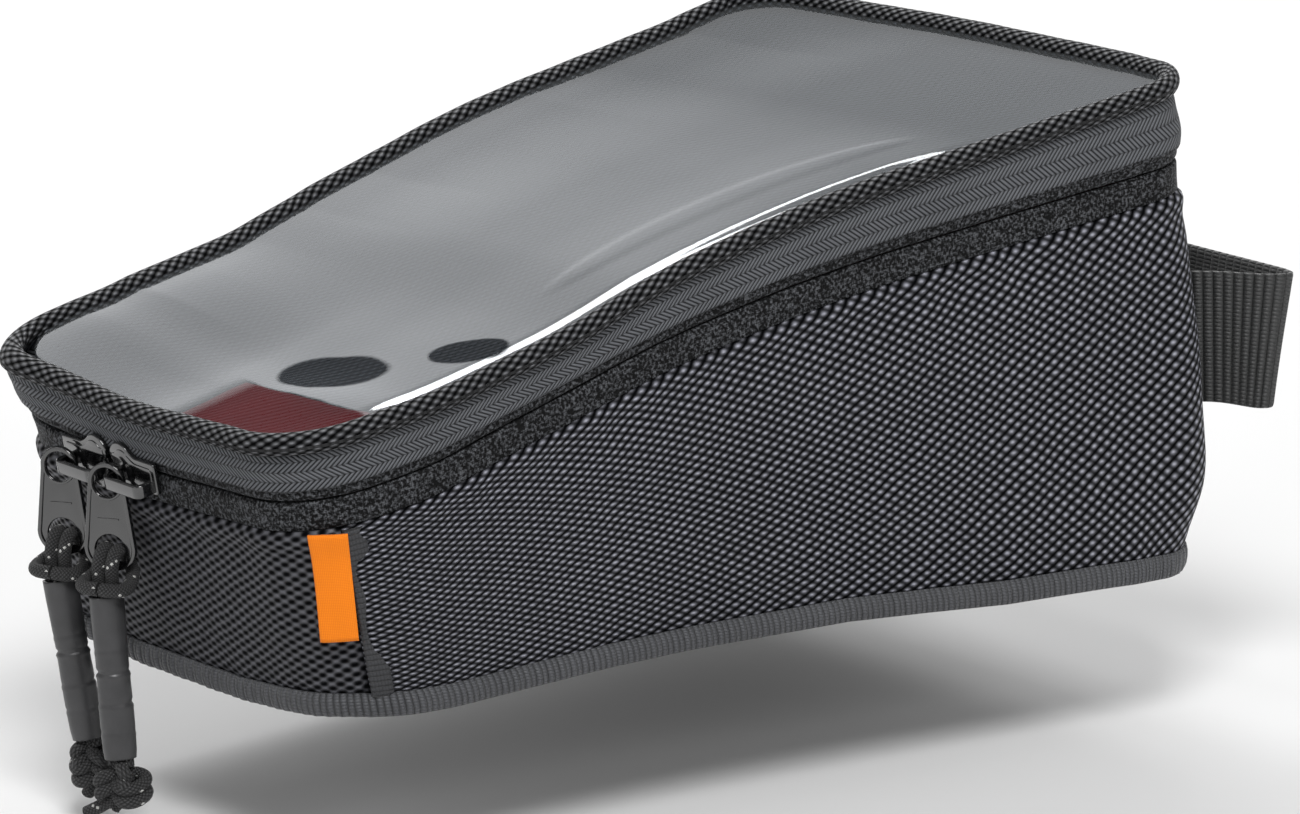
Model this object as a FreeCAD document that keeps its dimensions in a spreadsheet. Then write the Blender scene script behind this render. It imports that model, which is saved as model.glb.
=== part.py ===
import FreeCAD, Part
import math
import os

import Sketcher

V = FreeCAD.Vector
doc = FreeCAD.newDocument("tank_bag")

# ---------------------------------------------------------------- dimensions
sheet = doc.addObject("Spreadsheet::Sheet", "Dimensions")
DIMS = [
    # the bag: base face on z = 0, low rear end at -X, tall front end at +X
    ("base_length", 287.0, "base, rear edge to front edge"),
    ("rear_half_width", 68.0, "half the base's width at the rear edge"),
    ("front_half_width", 107.0, "half the base's width at the front edge"),
    ("front_lean", 0.032, "front wall leans back by this much per mm of height"),
    ("rear_lean", 0.2, "rear wall leans out by this much per mm of height"),
    ("rear_corner_radius", 27.0, "rear corners, seen along the wall"),
    ("front_corner_radius", 15.0, "front corners, seen along the wall"),
    ("chain_height", 61.0, "zip chain above the base at the rear, along the wall"),
    # fabric layers of the wall, from the outside in
    ("shell_thickness", 1.5, "woven outer fabric with its coating"),
    ("foam_thickness", 4.0, "wall foam"),
    ("lining_thickness", 0.8, "lining"),
    ("layer_gap", 0.1, "air between two layers"),
    ("tape_thickness", 0.8, "zip tape"),
    ("tape_gap", 3.2, "between the edges of the two tapes"),
    ("tape_below", 8.2, "lower tape's edge below the chain"),
    ("tape_above", 13.4, "upper tape's edge above the chain"),
    ("coil_depth", 2.2, "coil, behind the tape"),
    ("roll_size", 6.5, "edge roll"),
    ("roll_height", 17.2, "edge roll's middle above the chain"),
    ("window_thickness", 0.6, "clear vinyl"),
    # base
    ("pad_thickness", 2.1, "grip pad"),
    ("board_thickness", 2.0, "stiffener board"),
    ("binding_height", 6.2, "ribbed binding round the base"),
    ("magnet_length", 48.0, "flat magnet"),
    ("magnet_width", 26.0, "flat magnet"),
    ("magnet_thickness", 4.0, "flat magnet"),
    # carry handle
    ("webbing_width", 38.0, "webbing"),
    ("webbing_thickness", 1.8, "webbing"),
    ("handle_bottom", 43.5, "lower edge of the handle"),
    # label
    ("label_width", 9.0, "fabric label"),
    ("label_height", 30.0, "fabric label"),
    ("label_thickness", 0.8, "fabric label"),
    # sliders
    ("slider_length", 19.5, "along the chain"),
    ("slider_width", 14.7, "across the chain at the nose"),
    ("slider_tail_width", 9.2, "across the chain at the tail"),
    ("front_plate", 1.6, "front plate"),
    ("back_plate", 1.4, "back plate"),
    ("slot_front", 0.5, "front plate to tape"),
    ("slot_back", 2.6, "tape's outer face to back plate"),
    ("crown_gap", 4.0, "front plate to crown"),
    ("crown_thickness", 1.4, "crown strap"),
    ("crown_width", 3.8, "crown strap"),
    ("crown_length", 16.6, "crown, end to end"),
    ("crown_drop", 2.3, "crown's middle below the slider's"),
    ("near_slider_y", 5.9, "near slider's middle"),
    ("far_slider_y", 26.9, "far slider's middle"),
    # pull tabs
    ("tab_thickness", 2.0, "tab plate"),
    ("tab_ring_radius", 5.6, "round head of the tab"),
    ("tab_hole_radius", 4.2, "hole in the head"),
    ("tab_half_width", 7.75, "half the tab's width at the bottom"),
    ("tab_reach", 23.2, "head hole to bottom bar"),
    ("tab_slot_height", 7.4, "bottom slot"),
    ("tab_bar", 2.6, "bottom bar"),
    ("tab_slot_half", 4.7, "half the bottom slot's width"),
    ("tab_turn", 25.0, "degrees that the tab is turned about the vertical"),
    ("tab_lean", 3.0, "degrees that the tab hangs out of plumb"),
    # cord pulls
    ("cord_diameter", 3.8, "cord"),
    ("sleeve_outside", 8.8, "sleeve"),
    ("sleeve_inside", 8.0, "sleeve"),
    ("sleeve_length", 45.0, "sleeve"),
    ("knot_height", 15.0, "knot"),
    ("knot_width", 18.0, "knot"),
]
for row, (alias, value, note) in enumerate(DIMS, start=1):
    sheet.set(f"A{row}", alias)
    sheet.set(f"B{row}", str(value))
    sheet.set(f"C{row}", note)
    sheet.setAlias(f"B{row}", alias)
doc.recompute()


def d(alias):
    return float(getattr(sheet, alias))


def E(alias):
    return f"Dimensions.{alias}"


# ------------------------------------------------- the bag's frame and outline
# O is the middle of the base's rear edge. U runs forwards square to the leaning
# rear wall, N runs up along it.
XR = -d("base_length") / 2
_c = 1 / math.hypot(1, d("rear_lean"))
_s = d("rear_lean") * _c
O = V(XR, 0, 0)
U = V(_c, 0, _s)
N = V(-_s, 0, _c)


def at(u, v, n):
    return O + U * u + V(0, 1, 0) * v + N * n


def half_width(x, z):
    """Half the bag's width, x measured forwards from the base's rear edge."""
    slope = (d("front_half_width") - d("rear_half_width")) / d("base_length")
    return d("rear_half_width") + slope * x + z * (0.01 - 0.00032 * x)


def section(n, inset):
    """Corners (u, v) of the outline in the plane at height n along the rear wall, and its radii."""
    length = d("base_length")
    z = (n + _s * length) / (_c + _s * d("front_lean"))
    x = length - d("front_lean") * z
    ut = x * _c + z * _s
    wl, wt = half_width(-_s * n, _c * n), half_width(x, z)
    taper = (wt - wl) / ut
    grow = math.hypot(1, taper)
    w0 = wl + taper * inset - inset * grow
    w1 = wt - taper * inset - inset * grow
    r0 = max(d("rear_corner_radius") - inset, 3)
    r1 = max(d("front_corner_radius") - inset, 3)
    return [(inset, -w0), (ut - inset, -w1), (ut - inset, w1), (inset, w0)], [r0, r1, r1, r0]


def rounded(points, radii, place):
    """A closed wire of lines and tangent arcs. Also gives each arc's centre."""
    count, ends, arcs, centres = len(points), [], [], []
    for k in range(count):
        p, a, b = (V(*points[i % count], 0) for i in (k, k - 1, k + 1))
        da, db = (a - p).normalize(), (b - p).normalize()
        half = da.getAngle(db) / 2
        reach = radii[k] / math.tan(half)
        mid = (da + db).normalize()
        centre = p + mid * (radii[k] / math.sin(half))
        ends.append((p + da * reach, p + db * reach))
        arcs.append((p + da * reach, centre - mid * radii[k], p + db * reach))
        centres.append(centre)
    edges = []
    for k in range(count):
        q = [place(w.x, w.y) for w in arcs[k]]
        edges.append(Part.Arc(*q).toShape())
        a, b = ends[k][1], ends[(k + 1) % count][0]
        edges.append(Part.LineSegment(place(a.x, a.y), place(b.x, b.y)).toShape())
    return Part.Wire(edges), centres


N_LOW, N_HIGH = -64.0, 112.0
_hulls = {}


def hull(inset):
    """The whole bag's outer form, drawn in by inset, as one lofted solid."""
    if inset not in _hulls:
        wires = []
        for n in (N_LOW, N_HIGH):
            points, radii = section(n, inset)
            wires.append(rounded(points, radii, lambda u, v, n=n: at(u, v, n))[0])
        _hulls[inset] = Part.makeLoft(wires, True, True)
    return _hulls[inset]


def ring(outer, inner):
    return hull(outer).cut(hull(inner))


# the zip chain's line, seen from the side: straight round the rear, then an S up to the front
# x from the base's rear edge, height, and how much further up the lid's edge roll runs
CHAIN = [
    (27, 67.3, -0.3),
    (50, 74.5, -1.7),
    (70, 80.5, -2.3),
    (100, 89.3, -0.6),
    (149, 99.3, 1.3),
    (216, 107.5, 2.9),
    (267, 112.5, 4.5),
    (310, 116.0, 5.6),
]
FLAT_TO = 8.0


def chain_z(x):
    return (d("chain_height") + _s * x) / _c


def chain_curve(rise, lid=0):
    """Edges of the chain's line, moved up by rise. With lid 1, it follows the lid's edge."""
    a = V(XR - 45, -150, chain_z(-45) + rise)
    b = V(XR + FLAT_TO, -150, chain_z(FLAT_TO) + rise)
    points = [b] + [V(XR + x, -150, z + rise + lid * more) for x, z, more in CHAIN]
    spline = Part.BSplineCurve()
    spline.interpolate(Points=points, InitialTangent=V(1, 0, d("rear_lean")), FinalTangent=V(1, 0, 0.07))
    return [Part.LineSegment(a, b).toShape(), spline.toShape()], a, points[-1]


def slab(low, high, low_lid=0, high_lid=0):
    """Everything between the chain's line moved by low and by high."""
    top, a1, b1 = chain_curve(high, high_lid)
    bottom, a0, b0 = chain_curve(low, low_lid)
    wire = Part.Wire(top + [Part.LineSegment(b1, b0).toShape()] + bottom[::-1] + [Part.LineSegment(a0, a1).toShape()])
    return Part.Face(wire).extrude(V(0, 300, 0))


def wall(floor, high):
    """Everything from the level floor up to the chain's line moved by high."""
    top, a1, b1 = chain_curve(high)
    a0, b0 = V(a1.x, a1.y, floor), V(b1.x, b1.y, floor)
    wire = Part.Wire(top + [Part.makeLine(b1, b0), Part.makeLine(b0, a0), Part.makeLine(a0, a1)])
    return Part.Face(wire).extrude(V(0, 300, 0))


def level(z0, z1):
    return Part.makeBox(400, 300, z1 - z0, V(-200, -150, z0))


def lean_box(u0, u1, v0, v1, n0, n1):
    """A box in the rear wall's own directions."""
    box = Part.makeBox(u1 - u0, v1 - v0, n1 - n0)
    m = FreeCAD.Matrix(U.x, 0, N.x, 0, U.y, 1, N.y, 0, U.z, 0, N.z, 0, 0, 0, 0, 1)
    place = FreeCAD.Placement(m)
    place.Base = at(u0, v0, n0)
    box.Placement = place
    return box


NODES = []


def feature(label, shape, single=True):
    """A sub-part whose form is given by the bag's own surfaces."""
    shape = shape.removeSplitter() if single else shape
    if single and len(shape.Solids) == 1:
        shape = shape.Solids[0]
    obj = doc.addObject("Part::Feature", label)
    obj.Label = label
    obj.Shape = shape
    obj.Placement = FreeCAD.Placement()
    NODES.append(obj)
    return obj


# --------------------------------------------------------------- soft shells
g = d("layer_gap")
t_shell, t_foam, t_lining = d("shell_thickness"), d("foam_thickness"), d("lining_thickness")
foam_at = t_shell + g
lining_at = foam_at + t_foam + g
inside_at = lining_at + t_lining
bind_top = d("binding_height")
wall_top = -(d("tape_below") + 0.3) / _c
SEAM_U = 10.9
FRONT_X = 60.0
FRONT_Y = 62.0
rear_zone = lean_box(-80, SEAM_U, -150, 150, -80, 160)
front_zone = Part.makeBox(200, 2 * FRONT_Y, 260, V(FRONT_X, -FRONT_Y, -10))
right_half = Part.makeBox(400, 150, 300, V(-200, -150, -10))
left_half = Part.makeBox(400, 150, 300, V(-200, 0, -10))
# the foam boards stop a little way from each other
foam_front = Part.makeBox(200, 2 * FRONT_Y + 2, 260, V(FRONT_X, -FRONT_Y - 1, -10))
foam_rear = lean_box(-80, SEAM_U + 1, -150, 150, -80, 160)

shell = ring(0, t_shell).common(wall(bind_top + g, wall_top))
feature("rear_end_panel", shell.common(rear_zone))
sides = shell.cut(rear_zone).cut(front_zone)
feature("right_side_panel", sides.common(right_half))
feature("left_side_panel", sides.common(left_half))
feature("front_end_panel", shell.common(front_zone))

foam = ring(foam_at, foam_at + t_foam).common(wall(bind_top + 0.3, wall_top - 1))
feature("rear_foam", foam.common(rear_zone))
foam_sides = foam.cut(foam_rear).cut(foam_front)
feature("right_side_foam", foam_sides.common(right_half))
feature("left_side_foam", foam_sides.common(left_half))
feature("front_foam", foam.common(front_zone))

base_top = d("pad_thickness") + g + t_shell
foam_base = base_top + g
board_at = foam_base + 4.6
floor_at = board_at + d("board_thickness") + g
tub = hull(lining_at).common(wall(floor_at, wall_top - 1)).cut(hull(inside_at).common(wall(floor_at + t_lining, wall_top + 5)))
feature("lining", tub)

# base
binding = ring(-1.4, 1.8).common(level(0, bind_top))
feature("base_binding", binding)
feature("grip_pad", hull(1.9).common(level(0, d("pad_thickness"))))
feature("base_panel", hull(1.9).common(level(d("pad_thickness") + g, base_top)))
board = hull(6.2).common(level(board_at, board_at + d("board_thickness")))
feature("stiffener_board", board)

# magnets, in pockets in the base foam
MAGNETS = [(-92, -26), (-92, 26), (-20, -42), (-20, 42), (60, -56), (60, 56)]
magnet_z = foam_base + 0.3
base_foam = hull(6.2).common(level(foam_base, board_at - g))
for x, y in MAGNETS:
    base_foam = base_foam.cut(Part.makeBox(d("magnet_length") + 1, d("magnet_width") + 1, 10, V(x - (d("magnet_length") + 1) / 2, y - (d("magnet_width") + 1) / 2, magnet_z - 0.2)))
feature("base_foam", base_foam)
magnets = []
for k, (x, y) in enumerate(MAGNETS):
    box = doc.addObject("Part::Box", f"magnet_{k + 1}")
    box.setExpression("Length", E("magnet_length"))
    box.setExpression("Width", E("magnet_width"))
    box.setExpression("Height", E("magnet_thickness"))
    box.Placement = FreeCAD.Placement(V(x - d("magnet_length") / 2, y - d("magnet_width") / 2, magnet_z), FreeCAD.Rotation())
    magnets.append(box)
group = doc.addObject("Part::Compound", "base_magnets")
group.Label = "base_magnets"
group.Links = magnets
NODES.append(group)

# zip band: two tapes with the coil's halves behind them, from one front corner round the rear to the other
tape = ring(0, d("tape_thickness"))
half_gap = d("tape_gap") / 2
TAPE_END = 66.0
end_zone = Part.makeBox(200, 2 * TAPE_END, 260, V(FRONT_X, -TAPE_END, -10))
feature("body_zip_tape", tape.common(slab(-d("tape_below") / _c, -half_gap / _c)).cut(end_zone))
feature("lid_zip_tape", tape.common(slab(half_gap / _c, d("tape_above") / _c, 0, 1)).cut(end_zone))
coil = ring(d("tape_thickness") + 0.05, d("tape_thickness") + d("coil_depth"))


def slider_envelope(y):
    """The room a slider takes, round its place on the straight run."""
    return lean_box(-8, 5.2, y - 10.6, y + 10.6, d("chain_height") - 8, d("chain_height") + 8)


envelopes = slider_envelope(d("near_slider_y")).fuse(slider_envelope(d("far_slider_y")))
feature("body_zip_coil", coil.common(slab(-3.4, -0.15)).cut(end_zone).cut(envelopes), single=False)
feature("lid_zip_coil", coil.common(slab(0.15, 3.4)).cut(end_zone).cut(envelopes), single=False)

# seam strips behind the rear corners, and the label trapped in the right one
strip = ring(-0.9, -0.1).common(wall(bind_top + 0.6, wall_top - 0.6))
strips = strip.common(lean_box(SEAM_U + 0.2, SEAM_U + 6.0, -150, 150, -80, 160))
feature("right_corner_strip", strips.common(right_half))
feature("left_corner_strip", strips.common(left_half))
label_zone = lean_box(SEAM_U - 0.5 * d("label_width"), SEAM_U, -150, 0, 24.0, 24.0 + d("label_height"))
feature("side_label", ring(-0.1 - d("label_thickness"), -0.1).common(label_zone))

# fabric hinge across the front, between the two ends of the zip
hinge = ring(-0.95, -0.15).common(slab(-14, 13, 0, 1)).common(Part.makeBox(200, 2 * 64.0, 260, V(FRONT_X, -64.0, -10)))
feature("lid_hinge_strip", hinge)

# ---------------------------------------------------------------------- lid
r = d("roll_size") / 2
rm = d("roll_height")
feature("lid_edge_roll", ring(-0.3 - r, -0.3 + r).common(slab(rm - r, rm + r, 1, 1)))
feature("clear_window", hull(r + 0.1).common(slab(rm - 0.2 - d("window_thickness"), rm - 0.2, 1, 1)))
feature("map_pocket_back", hull(r + 0.1).common(slab(rm - 1.9, rm - 1.1, 1, 1)))
feature("lid_foam", hull(r + 0.1).common(slab(rm - 5.9, rm - 2.0, 1, 1)))
feature("lid_lining", hull(1.2).common(slab(rm - 6.8, rm - 6.0, 1, 1)))

# ------------------------------------------------------------- hard sub-parts


def make_body(label):
    body = doc.addObject("PartDesign::Body", label)
    body.Label = label
    return body


def plane(body, role):
    for f in body.Origin.OriginFeatures:
        if f.Role == role:
            return f
    raise ValueError(role)


def make_sketch(body, role, name):
    sk = body.newObject("Sketcher::SketchObject", name)
    sk.AttachmentSupport = [(plane(body, role), "")]
    sk.MapMode = "FlatFace"
    return sk


def rectangle(sk, x0, x1, y0, y1):
    """A rectangle from four expressions, each the distance of a side from the axes."""
    first = sk.GeometryCount
    guess = [V(-1, -1, 0), V(1, -1, 0), V(1, 1, 0), V(-1, 1, 0)]
    for k in range(4):
        sk.addGeometry(Part.LineSegment(guess[k], guess[(k + 1) % 4]), False)
    for k in range(4):
        sk.addConstraint(Sketcher.Constraint("Coincident", first + k, 2, first + (k + 1) % 4, 1))
    for k, kind in enumerate(("Horizontal", "Vertical", "Horizontal", "Vertical")):
        sk.addConstraint(Sketcher.Constraint(kind, first + k))
    for kind, point, expression in (
        ("DistanceX", 0, x0),
        ("DistanceX", 2, x1),
        ("DistanceY", 0, y0),
        ("DistanceY", 2, y1),
    ):
        guess_value = 1.0 if point else -1.0
        c = sk.addConstraint(Sketcher.Constraint(kind, -1, 1, first + point, 1, guess_value))
        sk.setExpression(f"Constraints[{c}]", expression)
    doc.recompute()


def loop(sk, points, holes=(), fix=True):
    """A closed run of lines and arcs. A point given as a pair of points is an arc through the first to the second."""
    start = V(*points[0], 0)
    here, first = start, sk.GeometryCount
    for p in list(points[1:]) + [points[0]]:
        if isinstance(p[0], tuple):
            mid, end = V(*p[0], 0), V(*p[1], 0)
            sk.addGeometry(Part.Arc(here, mid, end), False)
        else:
            end = V(*p, 0)
            if (end - here).Length < 1e-6:
                continue
            sk.addGeometry(Part.LineSegment(here, end), False)
        here = end
    if fix:
        for k in range(first, sk.GeometryCount):
            sk.addConstraint(Sketcher.Constraint("Block", k))


def pad(body, sk, name, length, symmetric=False, offset=None, reverse=False):
    p = body.newObject("PartDesign::Pad", name)
    p.Profile = sk
    p.setExpression("Length", length)
    if symmetric:
        p.SideType = "Symmetric"
    p.Reversed = reverse
    if offset is not None:
        sk.setExpression("AttachmentOffset.Base.z", offset)
    body.Tip = p
    return p


def finish_body(body, placement):
    doc.recompute()
    body.Placement = placement
    NODES.append(body)
    return body


def frame_placement(x, y, z, base):
    m = FreeCAD.Matrix(x.x, y.x, z.x, 0, x.y, y.y, z.y, 0, x.z, y.z, z.z, 0, 0, 0, 0, 1)
    p = FreeCAD.Placement(m)
    p.Base = base
    return p


def make_slider(label, y, nose):
    """A zip slider. Its own X runs along the chain, Y up the wall, Z out of the bag from the tape's face. nose is the sign of its nose end on X."""
    body = make_body(label)
    L, W, T = d("slider_length") / 2, d("slider_width") / 2, d("slider_tail_width") / 2
    s = nose

    def outline(shrink):
        l, w, tail = L - shrink, W - shrink, T - shrink
        a = 45 * math.pi / 180
        rr = 4.2
        cx, cy = l - rr, w - rr
        upper = [
            (s * -l, tail),
            (s * (-1.5), tail),
            ((s * 0.6, tail + (w - tail) * 0.35), (s * 2.6, w - 0.25)),
            ((s * (cx + 1.4), w + 0.0), (s * (cx + rr * math.cos(a)), cy + rr * math.sin(a))),
            ((s * (l - 0.15), cy + 0.6), (s * (l - 0.9), 1.9)),
            ((s * (l - 1.7), 0.0), (s * (l - 0.9), -1.9)),
        ]
        lower = [
            ((s * (l - 0.15), -(cy + 0.6)), (s * (cx + rr * math.cos(a)), -(cy + rr * math.sin(a)))),
            ((s * (cx + 1.4), -w), (s * 2.6, -(w - 0.25))),
            ((s * 0.6, -(tail + (w - tail) * 0.35)), (s * (-1.5), -tail)),
            (s * -l, -tail),
        ]
        return upper + lower

    sk = make_sketch(body, "XY_Plane", label + "_front_outline")
    loop(sk, outline(0))
    pad(body, sk, label + "_front", E("front_plate"), offset=E("slot_front"))
    sk = make_sketch(body, "XY_Plane", label + "_neck_outline")
    a, b = sorted((s * (L - 4.4), s * (L - 1.2)))
    rectangle(sk, str(a), str(b), "-1.15", "1.15")
    pad(body, sk, label + "_neck", f"{E('slot_front')} + {E('slot_back')} + 0.4", offset=f"-{E('slot_back')} - 0.2")
    sk = make_sketch(body, "XY_Plane", label + "_back_outline")
    loop(sk, outline(0.5))
    pad(body, sk, label + "_back", E("back_plate"), offset=f"-{E('slot_back')} - {E('back_plate')}")
    # the crown: an arch over the front plate, seen along the wall
    sk = make_sketch(body, "XZ_Plane", label + "_crown_outline")
    c, gap, th = d("crown_length") / 2, d("crown_gap"), d("crown_thickness")
    z0 = d("slot_front") + d("front_plate")
    k = 0.29
    ro, ri = 2.6, 1.4
    loop(
        sk,
        [
            (-c, z0 - 0.3),
            (-c, z0 + gap + th - ro),
            ((-c + k * ro, z0 + gap + th - k * ro), (-c + ro, z0 + gap + th)),
            (c - ro, z0 + gap + th),
            ((c - k * ro, z0 + gap + th - k * ro), (c, z0 + gap + th - ro)),
            (c, z0 - 0.3),
            (c - 1.6, z0 - 0.3),
            (c - 1.6, z0 + gap - ri),
            ((c - 1.6 - k * ri, z0 + gap - k * ri), (c - 1.6 - ri, z0 + gap)),
            (-c + 1.6 + ri, z0 + gap),
            ((-c + 1.6 + k * ri, z0 + gap - k * ri), (-c + 1.6, z0 + gap - ri)),
            (-c + 1.6, z0 - 0.3),
        ],
    )
    # the plane's normal is -Y, so the drop is a positive offset
    pad(body, sk, label + "_crown", E("crown_width"), symmetric=True, offset=E("crown_drop"))
    return finish_body(body, frame_placement(V(0, -1, 0), N, U * -1, at(0, y, d("chain_height"))))


turn = math.radians(d("tab_turn"))
T_OUT = V(-math.cos(turn), -math.sin(turn), 0)
UP = V(0, 0, 1)
_flat = V(-math.sin(turn), math.cos(turn), 0)
_lean = math.radians(d("tab_lean"))
T_WIDE = _flat * math.cos(_lean) - UP * math.sin(_lean)
T_UP = UP * math.cos(_lean) + _flat * math.sin(_lean)


def head_hole(y):
    """Middle of the tab's head hole: it hangs on the crown's leg at the +Y end."""
    stand = d("slot_front") + d("front_plate") + d("crown_gap") - 0.2
    leg = at(-stand, y + d("crown_length") / 2 - 0.8, d("chain_height") - d("crown_drop"))
    return leg + UP * -0.5


def make_tab(label, y):
    """A flat pull tab. Its own X runs across it, Y up, Z out of its face, with the head hole at its origin."""
    body = make_body(label)
    rr, hw, reach = d("tab_ring_radius"), d("tab_half_width"), d("tab_reach")
    bottom = -reach - d("tab_bar") / 2
    a = math.radians(8)
    left = [(-rr * math.cos(a), rr * math.sin(a) * -1), (-hw, bottom + 7.0)]
    corner = 6.2
    q = corner * math.sin(math.radians(45))
    sk = make_sketch(body, "XY_Plane", label + "_outline")
    loop(
        sk,
        [
            (-rr * math.cos(a), -rr * math.sin(a)),
            ((0, rr), (rr * math.cos(a), -rr * math.sin(a))),
            (hw, bottom + corner),
            ((hw - corner + q, bottom + corner - q), (hw - corner, bottom)),
            (-hw + corner, bottom),
            ((-hw + corner - q, bottom + corner - q), (-hw, bottom + corner)),
        ],
    )
    pad(body, sk, label + "_plate", E("tab_thickness"), symmetric=True)
    doc.recompute()
    sk = make_sketch(body, "XY_Plane", label + "_head_hole")
    c = sk.addGeometry(Part.Circle(V(0, 0, 0), V(0, 0, 1), d("tab_hole_radius")), False)
    sk.addConstraint(Sketcher.Constraint("Coincident", c, 3, -1, 1))
    i = sk.addConstraint(Sketcher.Constraint("Radius", c, d("tab_hole_radius")))
    sk.setExpression(f"Constraints[{i}]", E("tab_hole_radius"))
    cut = body.newObject("PartDesign::Pocket", label + "_head_pocket")
    cut.Profile = sk
    cut.Type = "ThroughAll"
    cut.SideType = "Symmetric"
    body.Tip = cut
    before = body.Shape.Volume
    doc.recompute()
    assert body.Shape.Volume < before, "the head hole cuts nothing"
    sk = make_sketch(body, "XY_Plane", label + "_slot_outline")
    h, y0 = d("tab_slot_half"), -reach + d("tab_bar") / 2
    y1 = y0 + d("tab_slot_height")
    loop(sk, [(-h, y0), (h, y0), (h, y1 - 4.0), ((0, y1), (-h, y1 - 4.0))])
    cut = body.newObject("PartDesign::Pocket", label + "_slot")
    cut.Profile = sk
    cut.Type = "ThroughAll"
    cut.SideType = "Symmetric"
    body.Tip = cut
    before = body.Shape.Volume
    doc.recompute()
    assert body.Shape.Volume < before, "the slot cuts nothing"
    return finish_body(body, frame_placement(T_WIDE * -1, T_UP, T_OUT, head_hole(y)))


def tube(points, diameter, label):
    """A tube of straight runs joined by tangent arcs. Each arc's radius is 0.45 of the shorter run over the tangent of half the turn."""
    edges, here = [], points[0]
    radii = []
    for k in range(1, len(points) - 1):
        a, p, b = points[k - 1], points[k], points[k + 1]
        back, on = (a - p).normalize(), (b - p).normalize()
        half_turn = (math.pi - back.getAngle(on)) / 2
        reach = 0.45 * min((a - p).Length, (b - p).Length)
        radius = reach / math.tan(half_turn)
        radii.append(round(radius, 1))
        mid = (back + on).normalize()
        centre = p + mid * (radius / math.cos(half_turn))
        t0, t1 = p + back * reach, p + on * reach
        edges.append(Part.LineSegment(here, t0).toShape())
        edges.append(Part.Arc(t0, centre - mid * radius, t1).toShape())
        here = t1
    edges.append(Part.LineSegment(here, points[-1]).toShape())
    path = Part.Wire(edges)
    circle = Part.Wire(Part.makeCircle(diameter / 2, points[0], (points[1] - points[0]).normalize()))
    solid = path.makePipeShell([circle], True, True)
    want = math.pi * diameter**2 / 4 * path.Length
    print(f"{label}: length {path.Length:.1f} mm, radii {radii}, volume {solid.Volume:.1f}, section x length {want:.1f}")
    assert abs(solid.Volume - want) < 0.03 * want, label
    return solid


def cord_places(y, lean):
    """The bottom bar's middle, the sleeve's top and bottom, and the knot's middle."""
    bar = head_hole(y) + T_UP * -d("tab_reach")
    loop_r = d("cord_diameter") / 2 + 1.75
    front = bar + T_OUT * loop_r
    direction = V(lean[0], lean[1], -1).normalize()
    knee = front + UP * -6.2
    top = knee + direction * 1.2
    bottom = top + direction * d("sleeve_length")
    knot = bottom + direction * (d("knot_height") / 2 - 0.2)
    return bar, front, knee, top, bottom, knot, direction, loop_r


def make_pull(side, y, lean):
    """Cord, sleeve and knot of one zip pull. lean is how far they hang out of plumb, per mm down."""
    bar, front, knee, top, bottom, knot, direction, loop_r = cord_places(y, lean)
    cd = d("cord_diameter")
    solids = []
    for s in (-1, 1):
        shift = T_WIDE * (s * (cd / 2 + 0.12))
        # round the bar, through the slot and down
        pts = [bar + shift + T_OUT * -loop_r, bar + shift + T_OUT * -loop_r + UP * loop_r * 0.4]
        back, over, down = bar - T_OUT * loop_r, bar + UP * loop_r, bar + T_OUT * loop_r
        arc = Part.Arc(back + shift, over + shift, down + shift).toShape()
        leg_end = knot - direction * (d("knot_height") / 2 - 1.0)
        a, p, b = front + shift, knee + shift, leg_end + shift
        bk, on = (a - p).normalize(), (b - p).normalize()
        half_turn = (math.pi - bk.getAngle(on)) / 2
        reach = 0.45 * (a - p).Length
        radius = reach / math.tan(half_turn)
        mid = (bk + on).normalize()
        centre = p + mid * (radius / math.cos(half_turn))
        t0, t1 = p + bk * reach, p + on * reach
        path = Part.Wire(
            [
                arc,
                Part.LineSegment(a, t0).toShape(),
                Part.Arc(t0, centre - mid * radius, t1).toShape(),
                Part.LineSegment(t1, b).toShape(),
            ]
        )
        circle = Part.Wire(Part.makeCircle(cd / 2, back + shift, UP))
        solid = path.makePipeShell([circle], True, True)
        want = math.pi * cd**2 / 4 * path.Length
        print(f"{side}_pull_cord: length {path.Length:.1f} mm, radii {loop_r:.1f} {radius:.1f}, volume {solid.Volume:.1f}, section x length {want:.1f}")
        assert abs(solid.Volume - want) < 0.03 * want, side
        solids.append(solid)
    # the hitch's collar round both legs
    collar_r = cd + 0.12 + cd / 2 + 0.25
    collar = Part.makeTorus(collar_r, cd / 2, front + UP * -4.5, UP)
    solids.append(collar)
    feature(f"{side}_pull_cord", Part.makeCompound(solids), single=False)

    body = make_body(f"{side}_pull_sleeve")
    sk = make_sketch(body, "XY_Plane", f"{side}_sleeve_section")
    for alias in ("sleeve_outside", "sleeve_inside"):
        c = sk.addGeometry(Part.Circle(V(0, 0, 0), V(0, 0, 1), d(alias) / 2), False)
        sk.addConstraint(Sketcher.Constraint("Coincident", c, 3, -1, 1))
        i = sk.addConstraint(Sketcher.Constraint("Radius", c, d(alias) / 2))
        sk.setExpression(f"Constraints[{i}]", f"{E(alias)} / 2")
    pad(body, sk, f"{side}_sleeve_pad", E("sleeve_length"))
    rot = FreeCAD.Rotation(V(0, 0, 1), direction)
    finish_body(body, FreeCAD.Placement(top, rot))

    ball = doc.addObject("Part::Ellipsoid", f"{side}_pull_knot")
    ball.Label = f"{side}_pull_knot"
    ball.setExpression("Radius1", f"{E('knot_height')} / 2")
    ball.setExpression("Radius2", f"{E('knot_width')} / 2")
    ball.setExpression("Radius3", f"{E('knot_width')} / 2 - 1.5")
    ball.Placement = FreeCAD.Placement(knot, FreeCAD.Rotation(V(0, 0, 1), direction * -1))
    NODES.append(ball)


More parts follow.
